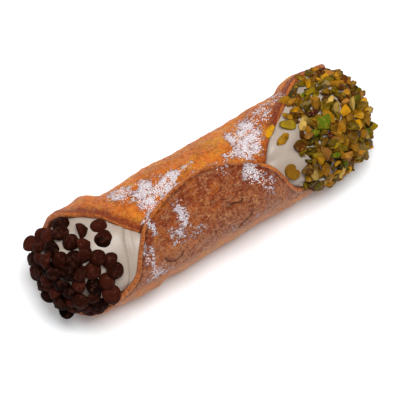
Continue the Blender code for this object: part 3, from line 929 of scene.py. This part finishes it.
def dusting_tree():
    """Strews grains over a surface, as thick as its sugar number and an uneven sieve say."""
    tree, given = node_tree("dusting", {
        "Grains": "NodeSocketFloat", "Grain": "NodeSocketFloat", "Clump size": "NodeSocketFloat",
        "Seed": "NodeSocketInt", "Material": "NodeSocketMaterial",
    })
    thick = add(tree, "GeometryNodeInputNamedAttribute", {"Name": "sugar"}, data_type="FLOAT")
    at = add(tree, "GeometryNodeInputPosition")
    per_clump = add(tree, "ShaderNodeMath", {0: 1.0, 1: given.outputs["Clump size"]}, operation="DIVIDE")
    clumps = add(tree, "ShaderNodeTexNoise", {"Vector": at, "Scale": per_clump, "Detail": 2.0, "Roughness": 0.6})
    uneven = add(tree, "ShaderNodeMath", {0: thick, 1: 0.45, 2: clumps}, operation="MULTIPLY_ADD")
    fall = {"Value": uneven, "From Min": 0.66, "From Max": 1.04}
    fall = add(tree, "ShaderNodeMapRange", fall, interpolation_type="SMOOTHSTEP")
    dense = add(tree, "ShaderNodeMapRange", {"Value": thick, "From Min": 0.35})
    fall = add(tree, "ShaderNodeMath", {0: fall, 1: dense}, operation="MULTIPLY")
    density = add(tree, "ShaderNodeMath", {0: fall, 1: given.outputs["Grains"]}, operation="MULTIPLY")
    strewn = add(tree, "GeometryNodeDistributePointsOnFaces", {
        "Mesh": given.outputs["Geometry"], "Density": density, "Seed": given.outputs["Seed"],
    })
    ball = add(tree, "GeometryNodeMeshIcoSphere", {"Radius": given.outputs["Grain"], "Subdivisions": 1})
    size = add(tree, "FunctionNodeRandomValue", {2: 0.5, 3: 1.35, "Seed": given.outputs["Seed"]}, data_type="FLOAT")
    flat = add(tree, "ShaderNodeVectorMath", {0: (1, 1, 0.6), "Scale": size}, operation="SCALE")
    grains = add(tree, "GeometryNodeInstanceOnPoints", {
        "Points": strewn.outputs["Points"], "Instance": ball.outputs["Mesh"],
        "Rotation": strewn.outputs["Rotation"], "Scale": flat,
    })
    real = add(tree, "GeometryNodeRealizeInstances", {"Geometry": grains})
    finished = add(tree, "GeometryNodeSetMaterial", {"Geometry": real, "Material": given.outputs["Material"]})
    add(tree, "NodeGroupOutput", {"Geometry": finished})
    return tree


# ---------------------------------------------------------------------------------------------------------------
# Materials


def new_material(name):
    """A material with a Principled shader, its tree, and its Object coordinates."""
    made = bpy.data.materials.new(name)
    made.use_nodes = True
    tree = made.node_tree
    return made, tree, tree.nodes["Principled BSDF"], add(tree, "ShaderNodeTexCoord").outputs["Object"]


def fried_dough(looks):
    """Fried wheat dough: matt and slightly oily, golden where it is thin and brown where it bulges, darker near the
    mouths' rims, partly browner and partly painted shade; painted shade in its hollows, pits, cracks and creases;
    painted highlights on its bubbles and along its edge; paler where flour stayed on it and, on the underside, with
    painted bounce light; and white where icing sugar lies."""
    made, tree, shader, at = new_material("fried_dough")
    fields = {
        name: add(tree, "ShaderNodeAttribute", attribute_name=name).outputs["Fac"]
        for name in ("sugar", "dusty", "flour_and_bounce", "flap", "mouth", "edge_tone_and_highlight", "crease_shade")
    }

    def wave(size, detail, low, high, to_low=0.0, to_high=1.0):
        """Noise with features of this size in mm, stretched so that low and high give these values."""
        at_size = {"Vector": at, "Scale": 1 / (size * MM), "Detail": detail, "Roughness": 0.6}
        made = add(tree, "ShaderNodeTexNoise", at_size)
        limits = {"Value": made, "From Min": low, "From Max": high, "To Min": to_low, "To Max": to_high}
        return add(tree, "ShaderNodeMapRange", limits)

    def mixed(factor, first, second):
        """Two colours, mixed."""
        return add(tree, "ShaderNodeMix", {"Factor": factor, "A": first, "B": second}, data_type="RGBA")

    def sum_of(first, factor, second, clamp=False):
        """first * factor + second"""
        return add(tree, "ShaderNodeMath", {0: first, 1: factor, 2: second}, operation="MULTIPLY_ADD", use_clamp=clamp)

    browned = sum_of(fields["flap"], 0.8, wave(7, 3.0, 0.36, 0.64, -0.15, 0.35))
    # Darker near the mouths' rims: partly browner frying, partly painted shade
    browned = sum_of(fields["mouth"], 1.1, browned)
    browned = add(tree, "ShaderNodeMath", {0: browned, 1: wave(1.9, 3.0, 0.3, 0.7, -0.22, 0.22)}, use_clamp=True)
    crust = mixed(wave(5, 2.0, 0.45, 0.65), looks.golden, looks.honey)
    crust = mixed(browned, crust, looks.toasted)
    # Paler underside: flour dust and painted bounce light from the floor; the chalky patches on the flap are flour
    flour_and_bounce = sum_of(wave(3.5, 3.0, 0.35, 0.65, 0.3, 1.0), fields["flour_and_bounce"], 0.0, True)
    crust = mixed(flour_and_bounce, crust, looks.flour_and_bounce)
    chalky = add(tree, "ShaderNodeMath", {0: wave(1.7, 4.0, 0.46, 0.68, 0.0, 0.7), 1: fields["flap"]}, operation="MULTIPLY")
    crust = mixed(chalky, crust, looks.flour_and_bounce)
    # Lighter band along the sheet's edge: the edge's own colour and a painted highlight on the rounded lip
    edge = sum_of(fields["edge_tone_and_highlight"], wave(3.2, 2.0, 0.35, 0.65, 0.4, 0.95), 0.0, True)
    crust = mixed(edge, crust, looks.edge_tone_and_highlight)
    blistered = wave(1.1, 3.0, 0.36, 0.64)
    grain = wave(0.5, 2.0, 0.34, 0.66)
    rise = sum_of(grain, 0.5, sum_of(blistered, 0.5, 0.0))
    coarse = wave(7, 2.0, 0.4, 0.6, 0.35, 1.0)
    # Painted shade: darker where the bump is low, in the hollows between the small bubbles, most on the outer flap
    hollow = {"Value": rise, "From Min": 0.12, "From Max": 0.46, "To Min": 0.6, "To Max": 0.0}
    more = sum_of(fields["flap"], 0.9, coarse)
    hollow = add(tree, "ShaderNodeMath", {0: add(tree, "ShaderNodeMapRange", hollow), 1: more}, operation="MULTIPLY")
    crust = mixed(hollow, crust, mixed(sum_of(fields["flap"], 0.5, 0.0), looks.toasted, looks.recess_shade))
    # Painted shade along the creases and cracks; the same number also sinks them in the bump below
    crease_shade_and_depth = {"Value": sum_of(grain, 0.45, fields["crease_shade"]), "From Min": 0.74, "From Max": 1.1, "To Max": 0.85}
    crease_shade_and_depth = add(tree, "ShaderNodeMapRange", crease_shade_and_depth)
    crust = mixed(crease_shade_and_depth, crust, looks.recess_shade)
    # Painted highlight: paler on the tops of the small bubbles, where the bump rises highest
    bubble_top_highlight = {"Value": rise, "From Min": 0.62, "From Max": 1.0, "To Max": 0.5}
    bubble_top_highlight = add(tree, "ShaderNodeMath", {0: add(tree, "ShaderNodeMapRange", bubble_top_highlight), 1: coarse}, operation="MULTIPLY")
    crust = mixed(bubble_top_highlight, crust, looks.pale)
    # Painted shade: dark spots inside small pits, which the bump below also sinks
    cells = add(tree, "ShaderNodeTexVoronoi", {"Vector": at, "Scale": 1 / (2.1 * MM)})
    spot = {"Value": cells.outputs["Distance"], "From Min": 0.06, "From Max": 0.26, "To Min": 0.5, "To Max": 0.0}
    some = add(tree, "ShaderNodeMath", {0: cells.outputs["Color"], 1: 0.84}, operation="GREATER_THAN")
    spot = add(tree, "ShaderNodeMath", {0: add(tree, "ShaderNodeMapRange", spot), 1: some}, operation="MULTIPLY")
    crust = mixed(spot, crust, looks.recess_shade)
    dust = sum_of(wave(1.4, 2.0, 0.3, 0.7), 0.35, sum_of(wave(0.5, 2.0, 0.3, 0.7), 0.65, 0.0))
    drift = sum_of(wave(2.8, 3.0, 0.36, 0.64, -0.9, 0.5), fields["sugar"], fields["sugar"])
    drift = sum_of(wave(6, 3.0, 0.42, 0.7), fields["dusty"], sum_of(drift, 5.4, 0.0))
    veil = sum_of(drift, 0.12, sum_of(dust, 0.72, 0.0))
    gaps = {"Value": dust, "From Min": 0.4, "From Max": 0.52, "To Min": 0.75, "To Max": 0.0}
    gaps = add(tree, "ShaderNodeMath", {0: add(tree, "ShaderNodeMapRange", gaps), 1: fields["sugar"]}, operation="MULTIPLY")
    crust = mixed(gaps, crust, looks.toasted)
    white = add(tree, "ShaderNodeMapRange", {"Value": veil, "From Min": 0.72, "From Max": 0.95, "To Max": 0.92})
    crust = mixed(white, crust, looks.sugar)
    tree.links.new(socket(crust.outputs, "Result"), shader.inputs["Base Color"])
    rough = sum_of(white, 0.35, wave(2.4, 3.0, 0.3, 0.7, 0.42, 0.6), True)
    tree.links.new(rough.outputs[0], shader.inputs["Roughness"])
    shader.inputs["Specular IOR Level"].default_value = 0.3
    height = sum_of(white, 0.35, sum_of(crease_shade_and_depth, -1.2, sum_of(spot, -0.8, rise)))
    bump = add(tree, "ShaderNodeBump", {"Strength": 1.0, "Distance": 0.85 * MM, "Height": height})
    tree.links.new(bump.outputs[0], shader.inputs["Normal"])
    return made


def ricotta_cream(looks):
    """Whipped ricotta cream: dense, smooth and softly shining, letting a little light in."""
    made, tree, shader, at = new_material("ricotta_cream")
    clouds = add(tree, "ShaderNodeTexNoise", {"Vector": at, "Scale": 1 / (6 * MM), "Detail": 3.0})
    tone = add(tree, "ShaderNodeMix", {"Factor": clouds, "A": looks.light, "B": looks.shade}, data_type="RGBA")
    tree.links.new(socket(tone.outputs, "Result"), shader.inputs["Base Color"])
    shader.inputs["Roughness"].default_value = 0.42
    shader.inputs["Specular IOR Level"].default_value = 0.4
    shader.inputs["Subsurface Weight"].default_value = 0.35
    shader.inputs["Subsurface Radius"].default_value = (1.0, 0.65, 0.4)
    shader.inputs["Subsurface Scale"].default_value = 1.6 * MM
    grain = add(tree, "ShaderNodeTexNoise", {"Vector": at, "Scale": 1 / (1.6 * MM), "Detail": 3.0, "Roughness": 0.55})
    bump = add(tree, "ShaderNodeBump", {"Strength": 0.25, "Distance": 0.3 * MM, "Height": grain})
    tree.links.new(bump.outputs[0], shader.inputs["Normal"])
    return made


def dark_chocolate(looks):
    """Moulded dark chocolate: dense and dark brown, half matt, with patches of dusty bloom."""
    made, tree, shader, at = new_material("dark_chocolate")
    tint = add(tree, "ShaderNodeAttribute", attribute_name="tint").outputs["Fac"]
    tone = add(tree, "ShaderNodeMix", {"Factor": tint, "A": looks.dark, "B": looks.brown}, data_type="RGBA")
    rub = add(tree, "ShaderNodeTexNoise", {"Vector": at, "Scale": 1 / (1.3 * MM), "Detail": 4.0, "Roughness": 0.7})
    rub = add(tree, "ShaderNodeMapRange", {"Value": rub, "From Min": 0.5, "From Max": 0.85, "To Max": 0.4})
    tone = add(tree, "ShaderNodeMix", {"Factor": rub, "A": tone, "B": looks.bloom}, data_type="RGBA")
    tree.links.new(socket(tone.outputs, "Result"), shader.inputs["Base Color"])
    shader.inputs["Roughness"].default_value = 0.62
    shader.inputs["Specular IOR Level"].default_value = 0.02
    grain = add(tree, "ShaderNodeTexNoise", {"Vector": at, "Scale": 1 / (0.9 * MM), "Detail": 4.0, "Roughness": 0.65})
    bump = add(tree, "ShaderNodeBump", {"Strength": 0.5, "Distance": 0.25 * MM, "Height": grain})
    tree.links.new(bump.outputs[0], shader.inputs["Normal"])
    return made


def chopped_pistachio(looks):
    """Chopped pistachio kernels: oily, matt cut faces from yellow to green, each piece its own shade."""
    made, tree, shader, at = new_material("chopped_pistachio")
    tint = add(tree, "ShaderNodeAttribute", attribute_name="tint").outputs["Fac"]
    ramp = add(tree, "ShaderNodeValToRGB", {0: tint})
    ramp.color_ramp.interpolation = "CONSTANT"
    colours = list(NUT_COLOURS.values())
    while len(ramp.color_ramp.elements) < len(colours):
        ramp.color_ramp.elements.new(1.0)
    for k, (element, shade) in enumerate(zip(ramp.color_ramp.elements, colours)):
        element.position = k / len(colours)
        element.color = (*(looks.depth * part for part in linear(shade)[:3]), 1)
    cloud = add(tree, "ShaderNodeTexNoise", {"Vector": at, "Scale": 1 / (2.4 * MM), "Detail": 3.0, "Roughness": 0.6})
    browned = add(tree, "ShaderNodeMapRange", {"Value": cloud, "From Min": 0.48, "From Max": 0.68, "To Max": 0.8})
    tone = add(tree, "ShaderNodeMix", {"Factor": browned, "A": ramp.outputs[0], "B": looks.browned}, data_type="RGBA")
    flecks = add(tree, "ShaderNodeTexNoise", {"Vector": at, "Scale": 1 / (1.2 * MM), "Detail": 3.0, "Roughness": 0.65})
    flecks = add(tree, "ShaderNodeMapRange", {"Value": flecks, "From Min": 0.5, "From Max": 0.72, "To Max": 0.5})
    tone = add(tree, "ShaderNodeMix", {"Factor": flecks, "A": tone, "B": looks.flesh}, data_type="RGBA")
    skin = add(tree, "ShaderNodeAttribute", attribute_name="skin").outputs["Fac"]
    skin = add(tree, "ShaderNodeMath", {0: skin, 1: 0.5}, operation="MULTIPLY")
    tone = add(tree, "ShaderNodeMix", {"Factor": skin, "A": tone, "B": looks.skin}, data_type="RGBA")
    tree.links.new(socket(tone.outputs, "Result"), shader.inputs["Base Color"])
    shader.inputs["Roughness"].default_value = 0.5
    shader.inputs["Specular IOR Level"].default_value = 0.06
    grain = add(tree, "ShaderNodeTexNoise", {"Vector": at, "Scale": 1 / (0.9 * MM), "Detail": 4.0, "Roughness": 0.6})
    bump = add(tree, "ShaderNodeBump", {"Strength": 0.6, "Distance": 0.3 * MM, "Height": grain})
    tree.links.new(bump.outputs[0], shader.inputs["Normal"])
    return made


def icing_sugar(looks):
    """Icing sugar in small soft grains: white and quite matt."""
    made, tree, shader, at = new_material("icing_sugar")
    cloud = add(tree, "ShaderNodeTexNoise", {"Vector": at, "Scale": 1 / (3 * MM), "Detail": 2.0})
    tone = add(tree, "ShaderNodeMix", {"Factor": cloud, "A": looks.white, "B": looks.shade}, data_type="RGBA")
    tree.links.new(socket(tone.outputs, "Result"), shader.inputs["Base Color"])
    shader.inputs["Roughness"].default_value = 0.9
    shader.inputs["Specular IOR Level"].default_value = 0.2
    return made


def white_paper(looks):
    """Plain matt paper for the floor."""
    made, tree, shader, at = new_material("white_paper")
    fibres = add(tree, "ShaderNodeTexNoise", {"Vector": at, "Scale": 1 / (40 * MM), "Detail": 2.0})
    tone = add(tree, "ShaderNodeMix", {"Factor": fibres, "A": looks.paper, "B": looks.paper_shade}, data_type="RGBA")
    tree.links.new(socket(tone.outputs, "Result"), shader.inputs["Base Color"])
    shader.inputs["Roughness"].default_value = 0.95
    shader.inputs["Specular IOR Level"].default_value = 0.1
    shader.inputs["Emission Color"].default_value = (1, 1, 1, 1)
    shader.inputs["Emission Strength"].default_value = looks.glow
    return made


# ---------------------------------------------------------------------------------------------------------------
# What a user can change


class ShellLooks(bpy.types.PropertyGroup):
    """The fried dough."""

    cells_along: count("Cells along", 168, "Faces of the sheet along the roll")
    cells_round: count("Cells round", 290, "Faces of the sheet round the roll")
    lip: length("Lip", 0.38, "How far the outer flap's edge curls up")
    bubble_size: length("Bubble size", 3.2, "How wide the small bubbles of the dough are")
    bubble_height: length("Bubble height", 1.0, "From the bottom of a small hollow to the top of a small bubble")
    pit_spacing: length("Pit spacing", 3.4, "From one open pit to the next")
    pit_width: length("Pit width", 0.9, "How wide an open pit is, from its middle")
    pit_depth: length("Pit depth", 0.45, "How deep an open pit is")
    golden: colour("Golden", "E87C22", "Thin, lightly fried dough")
    honey: colour("Honey", "EC982E", "Dough where it is thinnest and yellowest")
    toasted: colour("Toasted", "8A3612", "Well fried dough")
    # Pale colour: the painted highlight on the tops of the small bubbles
    pale: colour("Pale", "E8A868", "Dry grains on the surface")
    # Floury colour: flour and sugar dust, and on the underside also painted bounce light
    flour_and_bounce: colour("Floury", "C4875C", "Where flour and sugar dust the underside")
    # Cut edge colour: the edge's own colour and a painted highlight on the rounded lip
    edge_tone_and_highlight: colour("Cut edge", "E08038", "The edge of the sheet")
    # Painted shade: the dark colour in the pits, the hollows between bubbles, the cracks and the creases along the
    # flap's edge
    recess_shade: colour("Recess shade", "541E0A", "Inside the pits")
    sugar: colour("Sugar", "D2C6CC", "Icing sugar where it lies as a film")


class CreamLooks(bpy.types.PropertyGroup):
    """The ricotta cream."""

    rings: count("Rings", 270, "Faces of the cream from end to end")
    segments: count("Segments", 150, "Faces of the cream round the roll")
    swell: length("Swell", 2.9, "How far the cream swells out in the mouths")
    rise: length("Rise", 1.0, "How soon the cream swells beyond a rim")
    overhang: length("Overhang", 3.4, "How far the cream hangs over the rim at the pistachio end")
    light: colour("Light", "AB9F94", "The cream")
    shade: colour("Shade", "A29182", "The cream where it is moister")


class ChipLooks(bpy.types.PropertyGroup):
    """The chocolate chips."""

    size: share("Size", 1.0, "How large the chips are, 1 being 6 mm wide")
    spacing: length("Spacing", 4.5, "The least distance between loose chips")
    lean: share("Lean", 0.7, "How far the loose chips lean at most, in radians")
    seed: count("Seed", 4, "Which random set of loose chips")
    dark: colour("Dark", "060201", "The chocolate")
    brown: colour("Brown", "36130A", "The chocolate where it is lighter")
    bloom: colour("Bloom", "7A4636", "Dusty bloom")


class NutLooks(bpy.types.PropertyGroup):
    """The chopped pistachios."""

    longest: length("Longest", 5.4, "How long the largest loose pieces are")
    shortest: length("Shortest", 3.4, "How long the smallest loose pieces are")
    spacing: length("Spacing", 2.3, "The least distance between loose pieces")
    lean: share("Lean", 0.9, "How far the loose pieces lean at most, in radians")
    seed: count("Seed", 7, "Which random set of loose pieces")
    depth: share("Depth", 0.85, "How much of each kernel colour's light comes back; less is deeper")
    browned: colour("Browned", "5A2E06", "Toasted patches")
    flesh: colour("Flesh", "CCA63A", "Lighter flecks")
    skin: colour("Skin", "3A2A04", "The outside of a kernel")


class SugarLooks(bpy.types.PropertyGroup):
    """The icing sugar that lies in grains."""

    grains: share("Grains", 9e6, "How many grains lie on a square metre where the sugar is thickest")
    grain: length("Grain", 0.19, "The radius of a grain, drawn as coarse as a small clump so that it shows")
    clump_size: length("Clump size", 1.1, "How wide the clumps of grains are")
    seed: count("Seed", 3, "Which random set of grains")
    white: colour("White", "E8DFDE", "The sugar")
    shade: colour("Shade", "D6CCD0", "The sugar where it took up some fat")


class StageLooks(bpy.types.PropertyGroup):
    """The floor, the light and the camera."""

    floor_size: length("Floor size", 3000, "How wide the floor is")
    paper: colour("Paper", "F8F9FB", "The floor")
    paper_shade: colour("Paper shade", "F4F6F8", "The floor's faint clouds")
    glow: share("Glow", 0.1, "How brightly the floor shines by itself, as a light table does")
    key_power: share("Key power", 10.5, "Watts of the big soft light overhead")
    back_power: share("Back power", 1.6, "Watts of the soft light behind")
    sky: share("Sky", 0.18, "How bright the even light from all round is")
    elevation: share("Elevation", 62.0, "How far above the horizon the camera is, in degrees")
    azimuth: share("Azimuth", -33.6, "How far the camera is turned from looking along +Y, in degrees")
    distance: length("Distance", 900, "From the camera to the roll")
    lens: share("Lens", 243.7, "The camera's focal length in millimetres, on a 36 mm sensor")
    aside: length("Aside", -1.53, "How far right of the roll's middle the camera aims")
    below: length("Below", -1.96, "How far above the roll's middle the camera aims")


# ---------------------------------------------------------------------------------------------------------------
# The operators


class CANNOLO_OT_shell(bpy.types.Operator):
    """Make the rolled and fried shell"""

    bl_idname = "cannolo.shell"
    bl_label = "Fried shell"

    def execute(self, context):
        looks = context.scene.cannolo_shell
        mesh = rolled_shell(looks.cells_along, looks.cells_round, WALL, looks.lip)
        made = new_object("shell_form", mesh)
        with_nodes(made, relief_tree(), {
            "Bubble size": looks.bubble_size, "Bubble height": looks.bubble_height,
            "Pit spacing": looks.pit_spacing, "Pit width": looks.pit_width, "Pit depth": looks.pit_depth,
            "Material": fried_dough(looks),
        })
        made = settled(made, "fried_shell")
        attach(made, "root")
        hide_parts("shell")
        return {"FINISHED"}


class CANNOLO_OT_cream(bpy.types.Operator):
    """Make the cream that fills the roll"""

    bl_idname = "cannolo.cream"
    bl_label = "Ricotta cream"

    def execute(self, context):
        looks = context.scene.cannolo_cream
        made = new_object("ricotta_filling", filling(looks.rings, looks.segments, looks.swell, looks.rise, looks.overhang))
        made.data.materials.append(ricotta_cream(looks))
        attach(made, "root")
        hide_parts("cream")
        return {"FINISHED"}


class CANNOLO_OT_chips(bpy.types.Operator):
    """Set the chocolate chips on the cream"""

    bl_idname = "cannolo.chips"
    bl_label = "Chocolate chips"

    def execute(self, context):
        looks = context.scene.cannolo_chips
        heap = Heap("chocolate", bpy.data.objects["ricotta_filling"].data, looks.seed, 2.6 * MM)
        kinds = 5

        def choose():
            return {"size": looks.size, "kind": int(heap.random.integers(kinds)), "tint": heap.random.uniform()}

        for round_, out, lift, tip_round, tip_out in LONE_CHIPS:
            hit, normal = heap.foot(round_, out)
            facing = turned(way_out("chocolate", tip_round, tip_out), heap.random.uniform(0, math.tau))
            heap.put(hit, normal, lift * MM, facing, loose=0.0, **choose())
        heap.fill(4000, 0.92 * looks.spacing, 1.0 * MM, 2.3 * MM, choose, tumble=0.35)
        heap.fill(3000, 0.85 * looks.spacing, 2.6 * MM, 5.0 * MM, choose, tumble=0.6)
        group = variants("chip", [chip_form(heap.random) for _ in range(kinds)])
        made = heap.scattered("chocolate_chips_look", scatter_tree(), {
            "Forms": group, "Lean": looks.lean, "Size spread": 0.06, "Seed": looks.seed,
            "Material": dark_chocolate(looks),
        })
        removed(group)
        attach(made, "root")
        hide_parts("chocolate_chips")
        return {"FINISHED"}


class CANNOLO_OT_nuts(bpy.types.Operator):
    """Set the chopped pistachios on the cream"""

    bl_idname = "cannolo.nuts"
    bl_label = "Chopped pistachios"

    def execute(self, context):
        looks = context.scene.cannolo_nuts
        heap = Heap("pistachio", bpy.data.objects["ricotta_filling"].data, looks.seed, 1.3 * MM)
        kinds = 14
        names = list(NUT_COLOURS)
        
        def tint_of(k):
            return (k + 0.5) / len(names)

        def choose(shares=NUT_SHARES):
            return {
                "size": heap.random.uniform(looks.shortest, looks.longest),
                "kind": int(heap.random.integers(kinds)),
                "tint": tint_of(heap.random.choice(len(names), p=np.array(shares) / 100)),
            }

        heart = HEART_NUT
        hit, normal = heap.foot(heart["round"], heart["out"])
        facing = turned(normal, math.radians(heart["spin"]))
        row = {"size": heart["length"] * MM, "kind": kinds, "tint": tint_of(names.index("gold"))}
        heap.put(hit, normal, heart["lift"] * MM, facing, loose=0.0, **row)
        for round_, out, lift, spin, size, shade in LONE_NUTS:
            hit, normal = heap.foot(round_, out)
            row = {**choose(), "size": 1.12 * size * MM, "tint": tint_of(names.index(shade))}
            heap.put(hit, normal, lift * MM, turned(normal, math.radians(spin)), loose=0.0, **row)
        # The lower layer draws darker colours: painted shade between the pieces
        heap.fill(4000, looks.spacing, 0.7 * MM, 1.6 * MM, lambda: choose(SHADED_NUT_SHARES_BELOW))
        heap.fill(4000, 0.9 * looks.spacing, 1.9 * MM, 2.6 * MM, choose)
        forms = [nut_form(heap.random) for _ in range(kinds)]
        group = variants("nut", [*forms, nut_slice()])
        made = heap.scattered("pistachio_pieces_look", scatter_tree(), {
            "Forms": group, "Lean": looks.lean, "Size spread": 0.1, "Seed": looks.seed,
            "Material": chopped_pistachio(looks),
        })
        removed(group)
        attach(made, "root")
        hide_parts("pistachio_pieces")
        return {"FINISHED"}


class CANNOLO_OT_sugar(bpy.types.Operator):
    """Dust the shell with icing sugar"""

    bl_idname = "cannolo.sugar"
    bl_label = "Icing sugar"

    def execute(self, context):
        looks = context.scene.cannolo_sugar
        made = new_object("dusted_shell", bpy.data.objects["fried_shell"].data.copy())
        with_nodes(made, dusting_tree(), {
            "Grains": looks.grains, "Grain": looks.grain, "Clump size": looks.clump_size, "Seed": looks.seed,
            "Material": icing_sugar(looks),
        })
        made = settled(made, "icing_sugar")
        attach(made, "root")
        return {"FINISHED"}


class CANNOLO_OT_stage(bpy.types.Operator):
    """Make the floor, the light and the camera"""

    bl_idname = "cannolo.stage"
    bl_label = "Stage"

    def execute(self, context):
        looks = context.scene.cannolo_stage
        floor = bmesh.new()
        bmesh.ops.create_grid(floor, x_segments=1, y_segments=1, size=looks.floor_size / 2)
        mesh = bpy.data.meshes.new("floor")
        floor.to_mesh(mesh)
        floor.free()
        mesh.materials.append(white_paper(looks))
        new_object("floor", mesh)
        soft_light("key_light", (0.0, -0.16, 0.94), 0.5, looks.key_power)
        soft_light("back_light", (-0.2, 0.6, 0.45), 0.5, looks.back_power)
        world = bpy.data.worlds.new("studio")
        world.use_nodes = True
        sky = world.node_tree.nodes["Background"]
        sky.inputs["Strength"].default_value = looks.sky
        sky.inputs["Color"].default_value = (1, 1, 1, 1)
        context.scene.world = world
        context.scene.view_settings.view_transform = "Standard"
        add_camera(context.scene, looks)
        return {"FINISHED"}


def soft_light(name, where, size, power):
    """A square soft box that faces the roll."""
    light = bpy.data.lights.new(name, "AREA")
    light.size = size
    light.energy = power
    made = bpy.data.objects.new(name, light)
    made.location = where
    made.rotation_euler = (-Vector(where)).to_track_quat("-Z", "Y").to_euler()
    bpy.context.scene.collection.objects.link(made)


def add_camera(scene, looks):
    """A long lens that looks down on the roll from the front left."""
    turn, rise = math.radians(looks.azimuth), math.radians(looks.elevation)
    back = Vector((math.sin(turn) * math.cos(rise), -math.cos(turn) * math.cos(rise), math.sin(rise)))
    right = Vector((math.cos(turn), math.sin(turn), 0))
    up = back.cross(right)
    middle = Vector((0, 0, AXIS_HEIGHT + 0.5 * MM))
    camera = bpy.data.cameras.new("camera")
    camera.lens = looks.lens
    camera.sensor_width = 36
    camera.clip_end = 10
    made = bpy.data.objects.new("camera", camera)
    made.location = middle + right * looks.aside + up * looks.below + back * looks.distance
    made.rotation_euler = Matrix((right, up, back)).transposed().to_euler()
    scene.collection.objects.link(made)
    scene.camera = made


class CANNOLO_PT_panel(bpy.types.Panel):
    """Lists what the cannolo's looks are made of"""

    bl_idname = "CANNOLO_PT_panel"
    bl_label = "Cannolo"
    bl_space_type = "VIEW_3D"
    bl_region_type = "UI"
    bl_category = "Cannolo"

    def draw(self, context):
        for operator, settings in STEPS:
            self.layout.operator(operator.bl_idname)
            for name in settings.__annotations__:
                self.layout.prop(getattr(context.scene, setting_name(operator)), name)


STEPS = (
    (CANNOLO_OT_shell, ShellLooks),
    (CANNOLO_OT_cream, CreamLooks),
    (CANNOLO_OT_chips, ChipLooks),
    (CANNOLO_OT_nuts, NutLooks),
    (CANNOLO_OT_sugar, SugarLooks),
    (CANNOLO_OT_stage, StageLooks),
)


def setting_name(operator):
    """The scene's property that holds an operator's settings."""
    return operator.bl_idname.replace(".", "_")


def register():
    for operator, settings in STEPS:
        bpy.utils.register_class(settings)
        bpy.utils.register_class(operator)
        setattr(bpy.types.Scene, setting_name(operator), bpy.props.PointerProperty(type=settings))
    bpy.utils.register_class(CANNOLO_PT_panel)


def unregister():
    bpy.utils.unregister_class(CANNOLO_PT_panel)
    for operator, settings in reversed(STEPS):
        delattr(bpy.types.Scene, setting_name(operator))
        bpy.utils.unregister_class(operator)
        bpy.utils.unregister_class(settings)


def main():
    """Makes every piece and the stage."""
    register()
    bpy.ops.cannolo.shell()
    bpy.ops.cannolo.cream()
    bpy.ops.cannolo.chips()
    bpy.ops.cannolo.nuts()
    bpy.ops.cannolo.sugar()
    bpy.ops.cannolo.stage()


if __name__ == "__main__":
    main()
